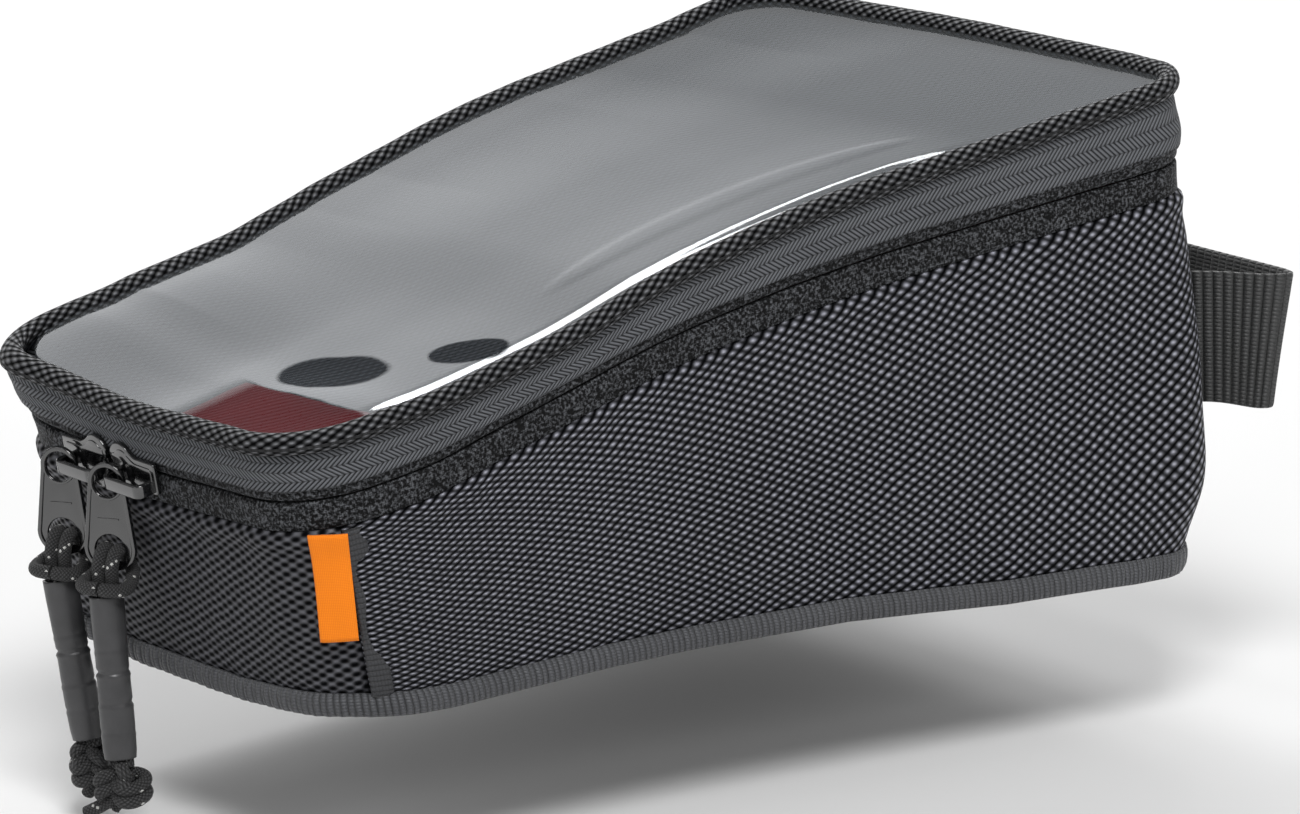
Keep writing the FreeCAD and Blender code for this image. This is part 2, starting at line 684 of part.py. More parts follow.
LEANS = {"near": (0.0, -0.12), "far": (0.09, -0.15)}
for side, nose in (("near", -1), ("far", 1)):
    y = d(f"{side}_slider_y")
    make_slider(f"{side}_slider", y, nose)
    make_tab(f"{side}_pull_tab", y)
    make_pull(side, y, LEANS[side])

# the carry handle: webbing sewn flat to the front wall at both corners, folded back on itself across the front
handle = make_body("carry_handle")
sk = make_sketch(handle, "XY_Plane", "handle_plan")
th = d("webbing_thickness")
z_mid = d("handle_bottom") + d("webbing_width") / 2
xw = XR + d("base_length") - d("front_lean") * d("handle_bottom") + 0.35
plan = [
    # outer line from the middle to the end of one side, in plan
    (xw + 27.0, 0.0),
    (xw + 28.5, 60.0),
    (xw + 29.0, 96.0),
    (xw + 27.0, 103.5),
    (xw + 20.0, 100.0),
    (xw + 6.5, 84.0),
    (xw + 2.2, 74.0),
    (xw + th, 66.0),
    (xw + th, 44.0),
]


def offset_line(points, by):
    out = []
    for k, p in enumerate(points):
        a = V(*points[max(k - 1, 0)], 0)
        b = V(*points[min(k + 1, len(points) - 1)], 0)
        q = V(*p, 0)
        d0 = (q - a).normalize() if (q - a).Length > 1e-9 else (b - q).normalize()
        d1 = (b - q).normalize() if (b - q).Length > 1e-9 else d0
        n0, n1 = V(d0.y, -d0.x, 0), V(d1.y, -d1.x, 0)
        m = (n0 + n1).normalize()
        out.append(q - m * (by / max(m.dot(n0), 0.3)))
    return [(p.x, p.y) for p in out]


inner = offset_line(plan, th)
half_plan = plan[1:]
half_inner = inner[1:]
outer_line = [(x, -y) for x, y in reversed(half_plan)] + half_plan
inner_line = [(x, -y) for x, y in reversed(half_inner)] + half_inner
outer_line.insert(len(half_plan), plan[0])
inner_line.insert(len(half_inner), (plan[0][0] - th, 0.0))
loop(sk, outer_line + inner_line[::-1])
pad(handle, sk, "handle_pad", E("webbing_width"), offset=E("handle_bottom"))
hinge_point = V(xw, 0, d("handle_bottom"))
finish_body(handle, FreeCAD.Placement(V(0, 0, 0), FreeCAD.Rotation(V(0, 1, 0), -math.degrees(math.atan(d("front_lean")))), hinge_point))

doc.recompute()

# ------------------------------------------------------------------- checks
for obj in doc.Objects:
    if "Invalid" in obj.State or "Error" in obj.State:
        raise RuntimeError(f"{obj.Name} is {obj.State}")
os.makedirs("parts", exist_ok=True)
names = set()
for obj in NODES:
    shape = obj.Shape
    if shape.isNull() or not shape.isValid() or not shape.Solids:
        raise RuntimeError(f"{obj.Label} has no valid shape")
    if obj.Label in names:
        raise RuntimeError(f"{obj.Label} twice")
    names.add(obj.Label)
for obj in NODES:
    obj.Shape.exportStep(f"parts/{obj.Label}.step")
    b = obj.Shape.BoundBox
    print(f"{obj.Label}: {len(obj.Shape.Solids)} solid(s), {obj.Shape.Volume / 1000:.2f} cm3, x {b.XMin:.1f}..{b.XMax:.1f} y {b.YMin:.1f}..{b.YMax:.1f} z {b.ZMin:.1f}..{b.ZMax:.1f}")
points, radii = section(d("chain_height"), 0)
centre = rounded(points, radii, lambda u, v: V(u, v, 0))[1][3]
print("far corner centre", at(centre.x, centre.y, d("chain_height")), "axis", N)
for side in ("near", "far"):
    y = d(f"{side}_slider_y")
    print(side, "slider at", at(0, y, d("chain_height")), "head hole", head_hole(y), "bar", cord_places(y, LEANS[side])[0])
    print(side, "knee", cord_places(y, LEANS[side])[2], "top", cord_places(y, LEANS[side])[3], "bottom", cord_places(y, LEANS[side])[4], "knot", cord_places(y, LEANS[side])[5])
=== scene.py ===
import math

import bmesh
import bpy
import numpy as np
from mathutils import Matrix, Vector


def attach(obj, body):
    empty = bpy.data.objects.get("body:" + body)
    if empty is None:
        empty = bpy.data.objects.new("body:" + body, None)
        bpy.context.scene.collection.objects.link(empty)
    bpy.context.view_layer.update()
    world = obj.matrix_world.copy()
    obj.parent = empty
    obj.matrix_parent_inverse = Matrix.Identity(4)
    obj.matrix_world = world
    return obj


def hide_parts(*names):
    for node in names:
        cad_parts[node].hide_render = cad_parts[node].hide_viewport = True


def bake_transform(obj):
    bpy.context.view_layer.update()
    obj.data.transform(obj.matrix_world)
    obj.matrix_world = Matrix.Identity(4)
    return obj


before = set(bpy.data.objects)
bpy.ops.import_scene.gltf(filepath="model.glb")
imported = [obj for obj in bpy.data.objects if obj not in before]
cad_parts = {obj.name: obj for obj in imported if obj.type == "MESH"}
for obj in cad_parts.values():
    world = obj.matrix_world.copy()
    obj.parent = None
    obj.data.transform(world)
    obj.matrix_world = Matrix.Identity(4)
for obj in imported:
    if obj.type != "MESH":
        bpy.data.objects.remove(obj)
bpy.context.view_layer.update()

# ------------------------------------------------------------------ the form
# Millimetres in here, as in the design; every mesh is scaled to metres when it is made.
L, HR, HF, RR, RF = 287.0, 68.0, 107.0, 27.0, 15.0
LEAN_F, LEAN_R, CHAIN0 = 0.032, 0.2, 61.0
XR = -L / 2
_c = 1 / math.hypot(1, LEAN_R)
_s = LEAN_R * _c
N0, N1 = -64.0, 112.0
CHAIN = [(27, 67.3, -0.3), (50, 74.5, -1.7), (70, 80.5, -2.3), (100, 89.3, -0.6), (149, 99.3, 1.3), (216, 107.5, 2.9), (267, 112.5, 4.5), (310, 116.0, 5.6)]


def smooth(t):
    t = np.clip(t, 0, 1)
    return t * t * (3 - 2 * t)


def hermite(xs, ys, first, last, x):
    xs, ys = np.array(xs, float), np.array(ys, float)
    m = np.empty_like(ys)
    m[0], m[-1] = first, last
    for i in range(1, len(xs) - 1):
        a, b = xs[i] - xs[i - 1], xs[i + 1] - xs[i]
        m[i] = ((ys[i] - ys[i - 1]) / a * b + (ys[i + 1] - ys[i]) / b * a) / (a + b)
    i = np.clip(np.searchsorted(xs, x) - 1, 0, len(xs) - 2)
    h = xs[i + 1] - xs[i]
    t = np.clip((x - xs[i]) / h, 0, 1)
    return (2 * t**3 - 3 * t**2 + 1) * ys[i] + (t**3 - 2 * t**2 + t) * h * m[i] + (3 * t**2 - 2 * t**3) * ys[i + 1] + (t**3 - t**2) * h * m[i + 1]


def chain(x):
    """Height of the zip chain, x in the row frame."""
    x = np.asarray(x, float) - XR
    flat = (CHAIN0 + _s * x) / _c
    xs = [8.0] + [p[0] for p in CHAIN]
    zs = [(CHAIN0 + _s * 8) / _c] + [p[1] for p in CHAIN]
    return np.where(x <= 8, flat, hermite(xs, zs, 0.2, 0.07, np.maximum(x, 8)))


def extra(x):
    x = np.asarray(x, float) - XR
    return np.where(x <= 8, 0, hermite([8.0] + [p[0] for p in CHAIN], [0.0] + [p[2] for p in CHAIN], 0, 0.02, np.maximum(x, 8)))


def half_width(x, z):
    return HR + (HF - HR) / L * x + z * (0.01 - 0.00032 * x)


def outline(n, counts):
    z = (n + _s * L) / (_c + _s * LEAN_F)
    ut = (L - LEAN_F * z) * _c + z * _s
    w0, w1 = half_width(-_s * n, _c * n), half_width(L - LEAN_F * z, z)
    corners = [(ut, -w1, RF), (0.0, -w0, RR), (0.0, w0, RR), (ut, w1, RF)]
    pts, marks = [], []
    pts_uv = [(ut, 0.0)]
    seg_start = np.array([ut, 0.0])
    out = [seg_start]
    k = 0
    ring = [(ut, 0.0)] + [c[:2] for c in corners] + [(ut, 0.0)]
    here = np.array(ring[0])
    for j in range(1, 5):
        p, a, b, r = np.array(ring[j]), np.array(ring[j - 1]), np.array(ring[j + 1]), corners[j - 1][2]
        da, db = (a - p) / np.linalg.norm(a - p), (b - p) / np.linalg.norm(b - p)
        half = math.acos(float(np.clip(da @ db, -1, 1))) / 2
        t0, t1 = p + da * r / math.tan(half), p + db * r / math.tan(half)
        mid = (da + db) / np.linalg.norm(da + db)
        cen = p + mid * r / math.sin(half)
        nl, na = counts[k], counts[k + 1]
        for i in range(1, nl + 1):
            out.append(here + (t0 - here) * i / nl)
        marks.append(len(out) - 1)
        v0, v1 = t0 - cen, t1 - cen
        ang0 = math.atan2(v0[1], v0[0])
        sweep = math.atan2(v0[0] * v1[1] - v0[1] * v1[0], v0 @ v1)
        for i in range(1, na + 1):
            g = ang0 + sweep * i / na
            out.append(cen + r * np.array([math.cos(g), math.sin(g)]))
        marks.append(len(out) - 1)
        here = t1
        k += 2
    nl = counts[k]
    for i in range(1, nl):
        out.append(here + (np.array(ring[5]) - here) * i / nl)
    uv = np.array(out)
    O, U, N = np.array([XR, 0, 0]), np.array([_c, 0, _s]), np.array([-_s, 0, _c])
    return O + uv[:, :1] * U + uv[:, 1:] * np.array([0, 1, 0]) + n * N, marks


COUNTS = (46, 18, 150, 26, 46, 26, 150, 18, 46)
RA, MARKS = outline(N0, COUNTS)
RB, _ = outline(N1, COUNTS)
M = len(RA)
# marks: front-near arc (0, 1), rear-near arc (2, 3), rear-far arc (4, 5), front-far arc (6, 7)
_mid = (RA + RB) / 2
STEP = np.linalg.norm(np.roll(_mid, -1, 0) - _mid, axis=1)
ARC = np.concatenate([[0], np.cumsum(STEP)])
PERIM = ARC[-1]


def arc_of(c):
    """Arc length at column c, a float that may run past M."""
    c = np.asarray(c, float)
    turns = np.floor(c / M)
    return np.interp(c - turns * M, np.arange(M + 1), ARC) + turns * PERIM


def col_of(s):
    return np.interp(np.asarray(s, float) % PERIM, ARC, np.arange(M + 1))


def ends(cols):
    c = np.asarray(cols, float) % M
    i = np.floor(c).astype(int)
    f = (c - i)[:, None]
    j = (i + 1) % M
    i = i % M
    return RA[i] * (1 - f) + RA[j] * f, RB[i] * (1 - f) + RB[j] * f


def at_height(cols, z):
    """Wall points at columns cols, where z(p) gives the wanted height. z is called with an array of points."""
    a, b = ends(cols)
    k = np.full(len(a), 0.6)
    for _ in range(7):
        p = a + (b - a) * k[:, None]
        k = (z(p) - a[:, 2]) / (b[:, 2] - a[:, 2])
    return a + (b - a) * k[:, None], k


def normals(cols, k):
    e = 0.6
    a0, b0 = ends(np.asarray(cols) - e)
    a1, b1 = ends(np.asarray(cols) + e)
    a, b = ends(cols)
    t = (a1 + (b1 - a1) * k[:, None]) - (a0 + (b0 - a0) * k[:, None])
    n = np.cross(t, b - a)
    n /= np.linalg.norm(n, axis=1)[:, None]
    p = a + (b - a) * k[:, None]
    if (n * (p - np.array([0, 0, 60.0]))).sum() < 0:
        n = -n
    return n


ARC_RF = (arc_of(MARKS[4]) + arc_of(MARKS[5])) / 2
ARC_RN = (arc_of(MARKS[2]) + arc_of(MARKS[3])) / 2
ARC_FN = (arc_of(MARKS[0]) + arc_of(MARKS[1])) / 2
ARC_FF = (arc_of(MARKS[6]) + arc_of(MARKS[7])) / 2


def near(s, s0, width):
    d = (s - s0 + PERIM / 2) % PERIM - PERIM / 2
    return np.exp(-((d / width) ** 2))


def bulge(s, z, p):
    """How far the soft wall stands out beyond the plain form, in mm, at arc length s and height z over the chain."""
    out = 4.2 * near(s, ARC_RF, 15) * np.exp(-(((z - 9) / 9) ** 2))
    out = out + 2.6 * near(s, ARC_RF, 15) * smooth((z - 8) / 8)
    out = out + 1.8 * near(s, ARC_FN, 12) * np.exp(-(((z - 8) / 6) ** 2))
    out = out + 1.8 * near(s, ARC_FF, 12) * np.exp(-(((z - 8) / 6) ** 2))
    return out


ARCH_X = [-143, -136, -111, -61, -36, 16, 42, 68, 122, 143]
ARCH_Z = [2.6, 3.1, 2.8, 5.6, 6.3, 6.0, 4.4, 2.6, 1.6, 1.2]


FAR_X = [-150, -128, -108, -88, -66, -45, -20, 40, 105, 143]
FAR_Z = [6.0, 6.4, 6.0, 3.6, 0.6, -1.6, -2.5, -1.8, -2.6, -0.6]


def settle(p):
    """The lie of the soft bag: higher on its right than its left, and the base arched as over a tank."""
    p = np.array(p, float)
    x, y, z = p[:, 0], p[:, 1], p[:, 2]
    w = 1 - smooth((x + 150) / 70)
    tilt = -0.045 * (y - 17 * w) * smooth(z / 55)
    hw = half_width(x - XR, z)
    side = smooth((np.abs(y) / hw - 0.25) / 0.7)
    arch = np.interp(x, ARCH_X, ARCH_Z) * side * (1 - smooth(z / 60))
    far = np.interp(x, FAR_X, FAR_Z) * smooth(y / 62) * smooth(z / 45)
    # the front wall tucks under towards the base, bows a little, and its corners are soft
    fr = smooth((x - 96) / 44)
    tuck = -7.5 * fr * (1 - smooth(z / 34)) ** 1.5
    bow = 2.2 * smooth((x - 60) / 80) * (1 - np.clip(y / hw, -1, 1) ** 2) * smooth(z / 60)
    cu, cv = np.clip((x - 112) / 28, 0, 1.2), np.clip((np.abs(y) - (hw - 30)) / 28, 0, 1.2)
    cut = 2.0 * cu * cv * smooth((z - 55) / 45)
    p[:, 0] = x + tuck + bow - cut
    p[:, 1] = y - np.sign(y) * (cut * 0.8 + 3.0 * cu * cv * (1 - smooth(z / 40)))
    p[:, 2] = z + tilt + arch + far
    return p


def ripple(p, scale, seed=0):
    """Smooth noise, about -1 to 1."""
    rng = np.random.RandomState(seed)
    out = np.zeros(len(p))
    for i in range(9):
        k = rng.normal(size=3)
        k *= (2 * math.pi / scale) * (0.6 + 0.9 * rng.rand()) / np.linalg.norm(k)
        out += np.sin(p @ k + rng.rand() * 6.28)
    return out / 4.0


# ------------------------------------------------------------- mesh building
COLLECTION = bpy.context.scene.collection


def make_object(name, verts, faces, corner_uv=None, flat=False):
    me = bpy.data.meshes.new(name)
    me.from_pydata([tuple(v) for v in np.asarray(verts) * 0.001], [], faces)
    me.update()
    if corner_uv is not None:
        layer = me.uv_layers.new(name="UVMap")
        layer.data.foreach_set("uv", np.asarray(corner_uv, np.float32).ravel())
    bm = bmesh.new()
    bm.from_mesh(me)
    bmesh.ops.recalc_face_normals(bm, faces=bm.faces)
    bm.to_mesh(me)
    bm.free()
    me.polygons.foreach_set("use_smooth", [not flat] * len(me.polygons))
    me.update()
    o = bpy.data.objects.new(name, me)
    COLLECTION.objects.link(o)
    return o


def loft(name, loops, u, v, closed, caps="strip"):
    """loops is (stations, points round the section, 3). u per station, v per point round the section."""
    C, Q = loops.shape[:2]
    verts = loops.reshape(-1, 3)
    faces, uvs = [], []
    for i in range(C if closed else C - 1):
        j = (i + 1) % C
        ui, uj = u[i], (u[i + 1] if i + 1 < len(u) else u[0] + PERIM)
        for q in range(Q):
            r = (q + 1) % Q
            vq, vr = v[q], (v[q + 1] if q + 1 < len(v) else v[0])
            faces.append((i * Q + q, j * Q + q, j * Q + r, i * Q + r))
            uvs += [(ui, vq), (uj, vq), (uj, vr), (ui, vr)]
    if not closed:
        for i in (0, C - 1):
            if caps == "strip":
                for q in range(Q // 2 - 1):
                    faces.append((i * Q + q, i * Q + q + 1, i * Q + Q - 2 - q, i * Q + Q - 1 - q))
                    uvs += [(u[i], v[q]), (u[i], v[q + 1]), (u[i] + 1, v[q + 1]), (u[i] + 1, v[q])]
            else:
                faces.append(tuple(i * Q + q for q in range(Q)))
                uvs += [(u[i], v[q]) for q in range(Q)]
    return make_object(name, verts, faces, uvs)


def columns(c0=None, c1=None, step=None):
    """Column positions from c0 to c1 (which may run past M), or all the way round; step in mm resamples them."""
    if c0 is None:
        if step is None:
            return np.arange(M, dtype=float)
        n = int(PERIM / step)
        return col_of(np.arange(n) * PERIM / n)
    if step is None:
        inner = np.arange(math.ceil(c0 + 0.01), math.floor(c1 - 0.01) + 1, dtype=float)
        return np.concatenate([[c0], inner, [c1]])
    s0, s1 = arc_of(c0), arc_of(c1)
    n = max(int((s1 - s0) / step), 2)
    s = np.linspace(s0, s1, n)
    turns = np.floor(s / PERIM)
    return col_of(s) + turns * M


def wall_shell(name, cols, closed, z_of, rows, out_of, thick, lie=True):
    """A shell along the wall. z_of(p, v) is the height at v from 0, bottom, to 1, top. out_of(p, s, v, zc) is how far the face stands out; zc is height over the chain."""
    s = arc_of(cols)
    outer, inner, vpos = [], [], []
    prev, run = None, 0.0
    for v in rows:
        p, k = at_height(cols, lambda q, v=v: z_of(q, v))
        n = normals(cols, k)
        zc = p[:, 2] - chain(p[:, 0])
        o = out_of(p, s, v, zc) + bulge(s, zc, p)
        a = p + n * o[:, None]
        b = p + n * (o - thick)[:, None]
        if prev is not None:
            run += float(np.linalg.norm(p - prev, axis=1).mean())
        prev = p
        vpos.append(run)
        outer.append(settle(a) if lie else a)
        inner.append(settle(b) if lie else b)
    loops = np.stack(outer + inner[::-1], 1)
    return loft(name, loops, s, vpos + vpos[::-1], closed)


def sweep(name, cols, closed, z_of, section, wave=None, lie=True):
    """A section of (height, out) points swept along the wall; z_of(p, h) gives the height for a section's h."""
    s = arc_of(cols)
    rows, vpos, run = [], [], 0.0
    for i, (h, o) in enumerate(section):
        p, k = at_height(cols, lambda q, h=h: z_of(q, h))
        n = normals(cols, k)
        zc = p[:, 2] - chain(p[:, 0])
        oo = np.full(len(p), float(o))
        if wave is not None:
            oo = wave(s, h, oo)
        a = p + n * (oo + bulge(s, zc, p))[:, None]
        rows.append(settle(a) if lie else a)
        if i:
            run += math.hypot(section[i][0] - section[i - 1][0], section[i][1] - section[i - 1][1])
        vpos.append(run)
    return loft(name, np.stack(rows, 1), s, vpos, closed, caps="ngon")


def col_at_u(side, u):
    """Column in a rear corner's arc where the wall is u mm forwards of the rear wall's plane."""
    ang = math.acos(1 - u / RR)
    a, b = (MARKS[2], MARKS[3]) if side == "near" else (MARKS[5], MARKS[4])
    p, k = at_height(np.array([float(b)]), lambda q: np.full(len(q), 30.0))
    p2, _ = at_height(np.array([float(a)]), lambda q: np.full(len(q), 30.0))
    total = None
    cs = np.linspace(b, a, 200)
    q, _ = at_height(cs, lambda q: np.full(len(q), 30.0))
    uu = (q[:, 0] - XR) * _c + q[:, 2] * _s
    return float(np.interp(u, uu, cs))


def col_at_y(y):
    """Column on the front wall at y."""
    cs = np.concatenate([np.arange(M - 60, M), np.arange(M, M + 61)]).astype(float)
    q, _ = at_height(cs, lambda q: np.full(len(q), 110.0))
    order = np.argsort(q[:, 1])
    return float(np.interp(y, q[order, 1], cs[order]))


# ----------------------------------------------------------------- materials
class Nodes:
    def __init__(self, name):
        self.m = bpy.data.materials.new(name)
        self.m.use_nodes = True
        self.t = self.m.node_tree
        self.b = self.t.nodes["Principled BSDF"]
        self.uvn = None

    def node(self, kind, **props):
        n = self.t.nodes.new(kind)
        for k, v in props.items():
            setattr(n, k, v)
        return n

    def put(self, socket, value):
        if isinstance(value, (int, float)):
            socket.default_value = value
        elif isinstance(value, (tuple, list)):
            socket.default_value = tuple(value) + (1,) * (4 - len(value)) if socket.type == "RGBA" else tuple(value)
        else:
            self.t.links.new(value, socket)

    def math(self, op, a, b=0.0, c=None):
        n = self.node("ShaderNodeMath", operation=op)
        self.put(n.inputs[0], a)
        self.put(n.inputs[1], b)
        if c is not None:
            self.put(n.inputs[2], c)
        return n.outputs[0]

    def uv(self):
        """U and V in mm along the piece."""
        if self.uvn is None:
            t = self.node("ShaderNodeUVMap", uv_map="UVMap")
            s = self.node("ShaderNodeSeparateXYZ")
            self.t.links.new(t.outputs[0], s.inputs[0])
            self.uvn = (s.outputs[0], s.outputs[1])
        return self.uvn

    def obj(self):
        t = self.node("ShaderNodeTexCoord")
        return t.outputs["Object"]

    def noise(self, scale, detail=2.0, vector=None, rough=0.5):
        n = self.node("ShaderNodeTexNoise")
        n.inputs["Scale"].default_value = scale
        n.inputs["Detail"].default_value = detail
        n.inputs["Roughness"].default_value = rough
        self.put(n.inputs["Vector"], self.obj() if vector is None else vector)
        return n.outputs["Fac"]

    def ramp(self, fac, stops):
        n = self.node("ShaderNodeValToRGB")
        e = n.color_ramp.elements
        while len(e) < len(stops):
            e.new(0.5)
        for el, (p, c) in zip(e, stops):
            el.position = p
            el.color = tuple(c) + (1,) if len(c) == 3 else c
        self.put(n.inputs[0], fac)
        return n.outputs[0]

    def mix(self, fac, a, b):
        n = self.node("ShaderNodeMix", data_type="RGBA")
        self.put(n.inputs[0], fac)
        self.put(n.inputs[6], a)
        self.put(n.inputs[7], b)
        return n.outputs[2]

    def lerp(self, fac, a, b):
        n = self.node("ShaderNodeMix", data_type="FLOAT")
        self.put(n.inputs[0], fac)
        self.put(n.inputs[2], a)
        self.put(n.inputs[3], b)
        return n.outputs[0]

    def bump(self, height, mm, strength=1.0, normal=None):
        n = self.node("ShaderNodeBump")
        n.inputs["Strength"].default_value = strength
        n.inputs["Distance"].default_value = mm * 0.001
        self.put(n.inputs["Height"], height)
        if normal is not None:
            self.put(n.inputs["Normal"], normal)
        return n.outputs[0]

    def absin(self, x, period):
        return self.math("ABSOLUTE", self.math("SINE", self.math("MULTIPLY", x, math.pi / period)))

    def weave(self, pu, pv, u=None, v=None):
        """Plain weave: height 0 to 1, and which thread is on top."""
        if u is None:
            u, v = self.uv()
        a, b = self.absin(u, pu), self.absin(v, pv)
        par = self.math("GREATER_THAN", self.math("MULTIPLY", self.math("SINE", self.math("MULTIPLY", u, math.pi / pu)), self.math("SINE", self.math("MULTIPLY", v, math.pi / pv))), 0.0)
        h1 = self.math("MULTIPLY", self.math("POWER", a, 0.6), self.math("MULTIPLY_ADD", b, 0.45, 0.55))
        h2 = self.math("MULTIPLY", self.math("POWER", b, 0.6), self.math("MULTIPLY_ADD", a, 0.45, 0.55))
        return self.lerp(par, h1, h2), par

    def set(self, **kw):
        names = {"color": "Base Color", "rough": "Roughness", "normal": "Normal", "sheen": "Sheen Weight", "sheen_rough": "Sheen Roughness", "spec": "Specular IOR Level", "metal": "Metallic", "coat": "Coat Weight", "coat_rough": "Coat Roughness", "alpha": "Alpha", "ior": "IOR", "trans": "Transmission Weight"}
        for k, v in kw.items():
            self.put(self.b.inputs[names[k]], v)
        return self.m


def fabric(name, dark, light, pu, pv, depth, rough=0.55, spec=0.5, sheen=0.1, wear=0.35, fibre=0.25):
    n = Nodes(name)
    h, par = n.weave(pu, pv)
    big = n.noise(28, 3)
    fine = n.noise(2600, 2)
    hh = n.math("ADD", h, n.math("MULTIPLY", fine, fibre))
    # the colour follows the weave's height: painted highlight on the raised threads and painted shade in the recesses,
    # times a broad noise for wear
    painted_shade_and_tone = n.math("MULTIPLY", n.math("MULTIPLY_ADD", h, 0.75, 0.25), n.math("MULTIPLY_ADD", big, wear, 1 - wear / 2))
    n.set(color=n.mix(painted_shade_and_tone, dark, light), rough=n.math("MULTIPLY_ADD", fine, 0.25, rough - 0.1), spec=spec, sheen=sheen, sheen_rough=0.4, normal=n.bump(hh, depth))
    return n.m


def ballistic(name, dark, light, pu, pv, depth, merge=0.0, rough=0.42, spec=0.45, sheen=0.05, wear=0.3):
    """Heavy basket weave: rounded bumps in slanting rows with gaps between them; the colour paints highlights on the
    bumps and shade in the gaps. merge joins the rows, leaving only small holes of painted shade.
    """
    n = Nodes(name)
    u, v = n.uv()
    wob = n.noise(70, 2)
    uu = n.math("ADD", n.math("DIVIDE", u, 2 * pu), n.math("MULTIPLY", wob, 0.35))
    vv = n.math("ADD", n.math("DIVIDE", v, 2 * pv), n.math("MULTIPLY", wob, 0.35))
    a = n.math("MULTIPLY_ADD", n.math("COSINE", n.math("MULTIPLY", n.math("ADD", uu, vv), 2 * math.pi)), -0.5, 0.5)
    b = n.math("MULTIPLY_ADD", n.math("COSINE", n.math("MULTIPLY", n.math("SUBTRACT", uu, vv), 2 * math.pi)), 0.5, 0.5)
    rows = n.math("MULTIPLY", n.math("POWER", a, 0.75), n.math("MULTIPLY_ADD", n.math("POWER", b, 0.9), 0.72, 0.28))
    holes = n.math("SUBTRACT", 1.0, n.math("MULTIPLY", n.math("SUBTRACT", 1.0, a), n.math("SUBTRACT", 1.0, b)))
    h = n.lerp(merge, rows, n.math("POWER", holes, 2.2))
    fine = n.noise(3000, 2)
    big = n.noise(22, 3)
    per = n.noise(420, 1)
    hh = n.math("ADD", h, n.math("MULTIPLY", fine, 0.12))
    # painted highlight on the bump tops and painted shade in the gaps, times broad and per-bump noise for wear
    painted_shade_and_tone = n.math("MULTIPLY", n.math("POWER", h, 2.1), n.math("MULTIPLY", n.math("MULTIPLY_ADD", big, wear, 1 - wear / 2), n.math("MULTIPLY_ADD", per, 0.9, 0.55)))
    n.set(color=n.mix(painted_shade_and_tone, dark, light), rough=n.math("MULTIPLY_ADD", fine, 0.2, rough), spec=n.math("MULTIPLY", h, spec), sheen=sheen, sheen_rough=0.4, normal=n.bump(hh, depth))
    return n.m


# the light colours here are painted highlight tones on the weave's raised parts; the dark ones are painted shade in its
# recesses
M_PANEL = ballistic("coated_fabric", (0.0022, 0.0023, 0.0028), (0.36, 0.365, 0.425), 2.3, 1.32, 0.8)
M_REAR = ballistic("coated_fabric_low", (0.0022, 0.0023, 0.0028), (0.10, 0.101, 0.116), 2.35, 1.3, 0.42, merge=0.55)
M_ROLL = ballistic("woven_nylon", (0.0016, 0.0017, 0.0019), (0.17, 0.174, 0.188), 2.0, 1.2, 0.85, merge=0.15)
M_HINGE = fabric("hinge_cloth", (0.004, 0.004, 0.0045), (0.035, 0.036, 0.04), 0.9, 0.9, 0.2)
M_LINING = fabric("red_lining", (0.06, 0.0012, 0.0015), (0.24, 0.007, 0.009), 0.5, 0.5, 0.06, rough=0.45, spec=0.4, sheen=0.3)
M_FOAM = fabric("foam", (0.03, 0.03, 0.03), (0.07, 0.07, 0.07), 0.9, 0.9, 0.05, rough=0.8, spec=0.2)
M_LABEL = fabric("label_fabric", (0.78, 0.14, 0.004), (1.0, 0.27, 0.008), 0.45, 0.45, 0.06, rough=0.6, spec=0.2, sheen=0.1, wear=0.1)


def ribbed(name, period, depth, lo, hi, along="u", cross=0.0, rough=0.5, skew=0.0):
    n = Nodes(name)
    u, v = n.uv()
    a = n.math("MULTIPLY_ADD", v, skew, u) if along == "u" else v
    h = n.math("POWER", n.absin(a, period), 0.7)
    if cross:
        h = n.math("MULTIPLY", h, n.math("MULTIPLY_ADD", n.absin(v if along == "u" else u, cross), 0.35, 0.65))
    fine = n.noise(2600, 2)
    big = n.noise(35, 3)
    # painted highlight on the rib tops and painted shade in the grooves between them, times a broad noise for random
    # tone
    painted_shade_and_tone = n.math("MULTIPLY", n.math("MULTIPLY_ADD", h, 0.85, 0.15), n.math("MULTIPLY_ADD", big, 0.5, 0.7))
    n.set(color=n.mix(painted_shade_and_tone, lo, hi), rough=n.math("MULTIPLY_ADD", fine, 0.25, rough - 0.1), spec=0.5, sheen=0.12, sheen_rough=0.4, normal=n.bump(n.math("ADD", h, n.math("MULTIPLY", fine, 0.2)), depth))
    return n.m


# the light colours here are painted highlight tones on the rib tops; the dark ones are painted shade in the grooves
M_BIND = ribbed("binding_tape", 1.85, 0.55, (0.0014, 0.0014, 0.0016), (0.088, 0.091, 0.1), cross=0.9)
M_WEB = ribbed("webbing", 2.9, 0.9, (0.0014, 0.0014, 0.0016), (0.052, 0.053, 0.053), cross=1.1)
M_STRIP = ribbed("seam_strip", 1.5, 0.3, (0.0016, 0.0016, 0.0018), (0.034, 0.035, 0.04), along="v", cross=0.9)
M_COIL = ribbed("zip_coil", 1.5, 0.6, (0.002, 0.002, 0.002), (0.02, 0.02, 0.021))


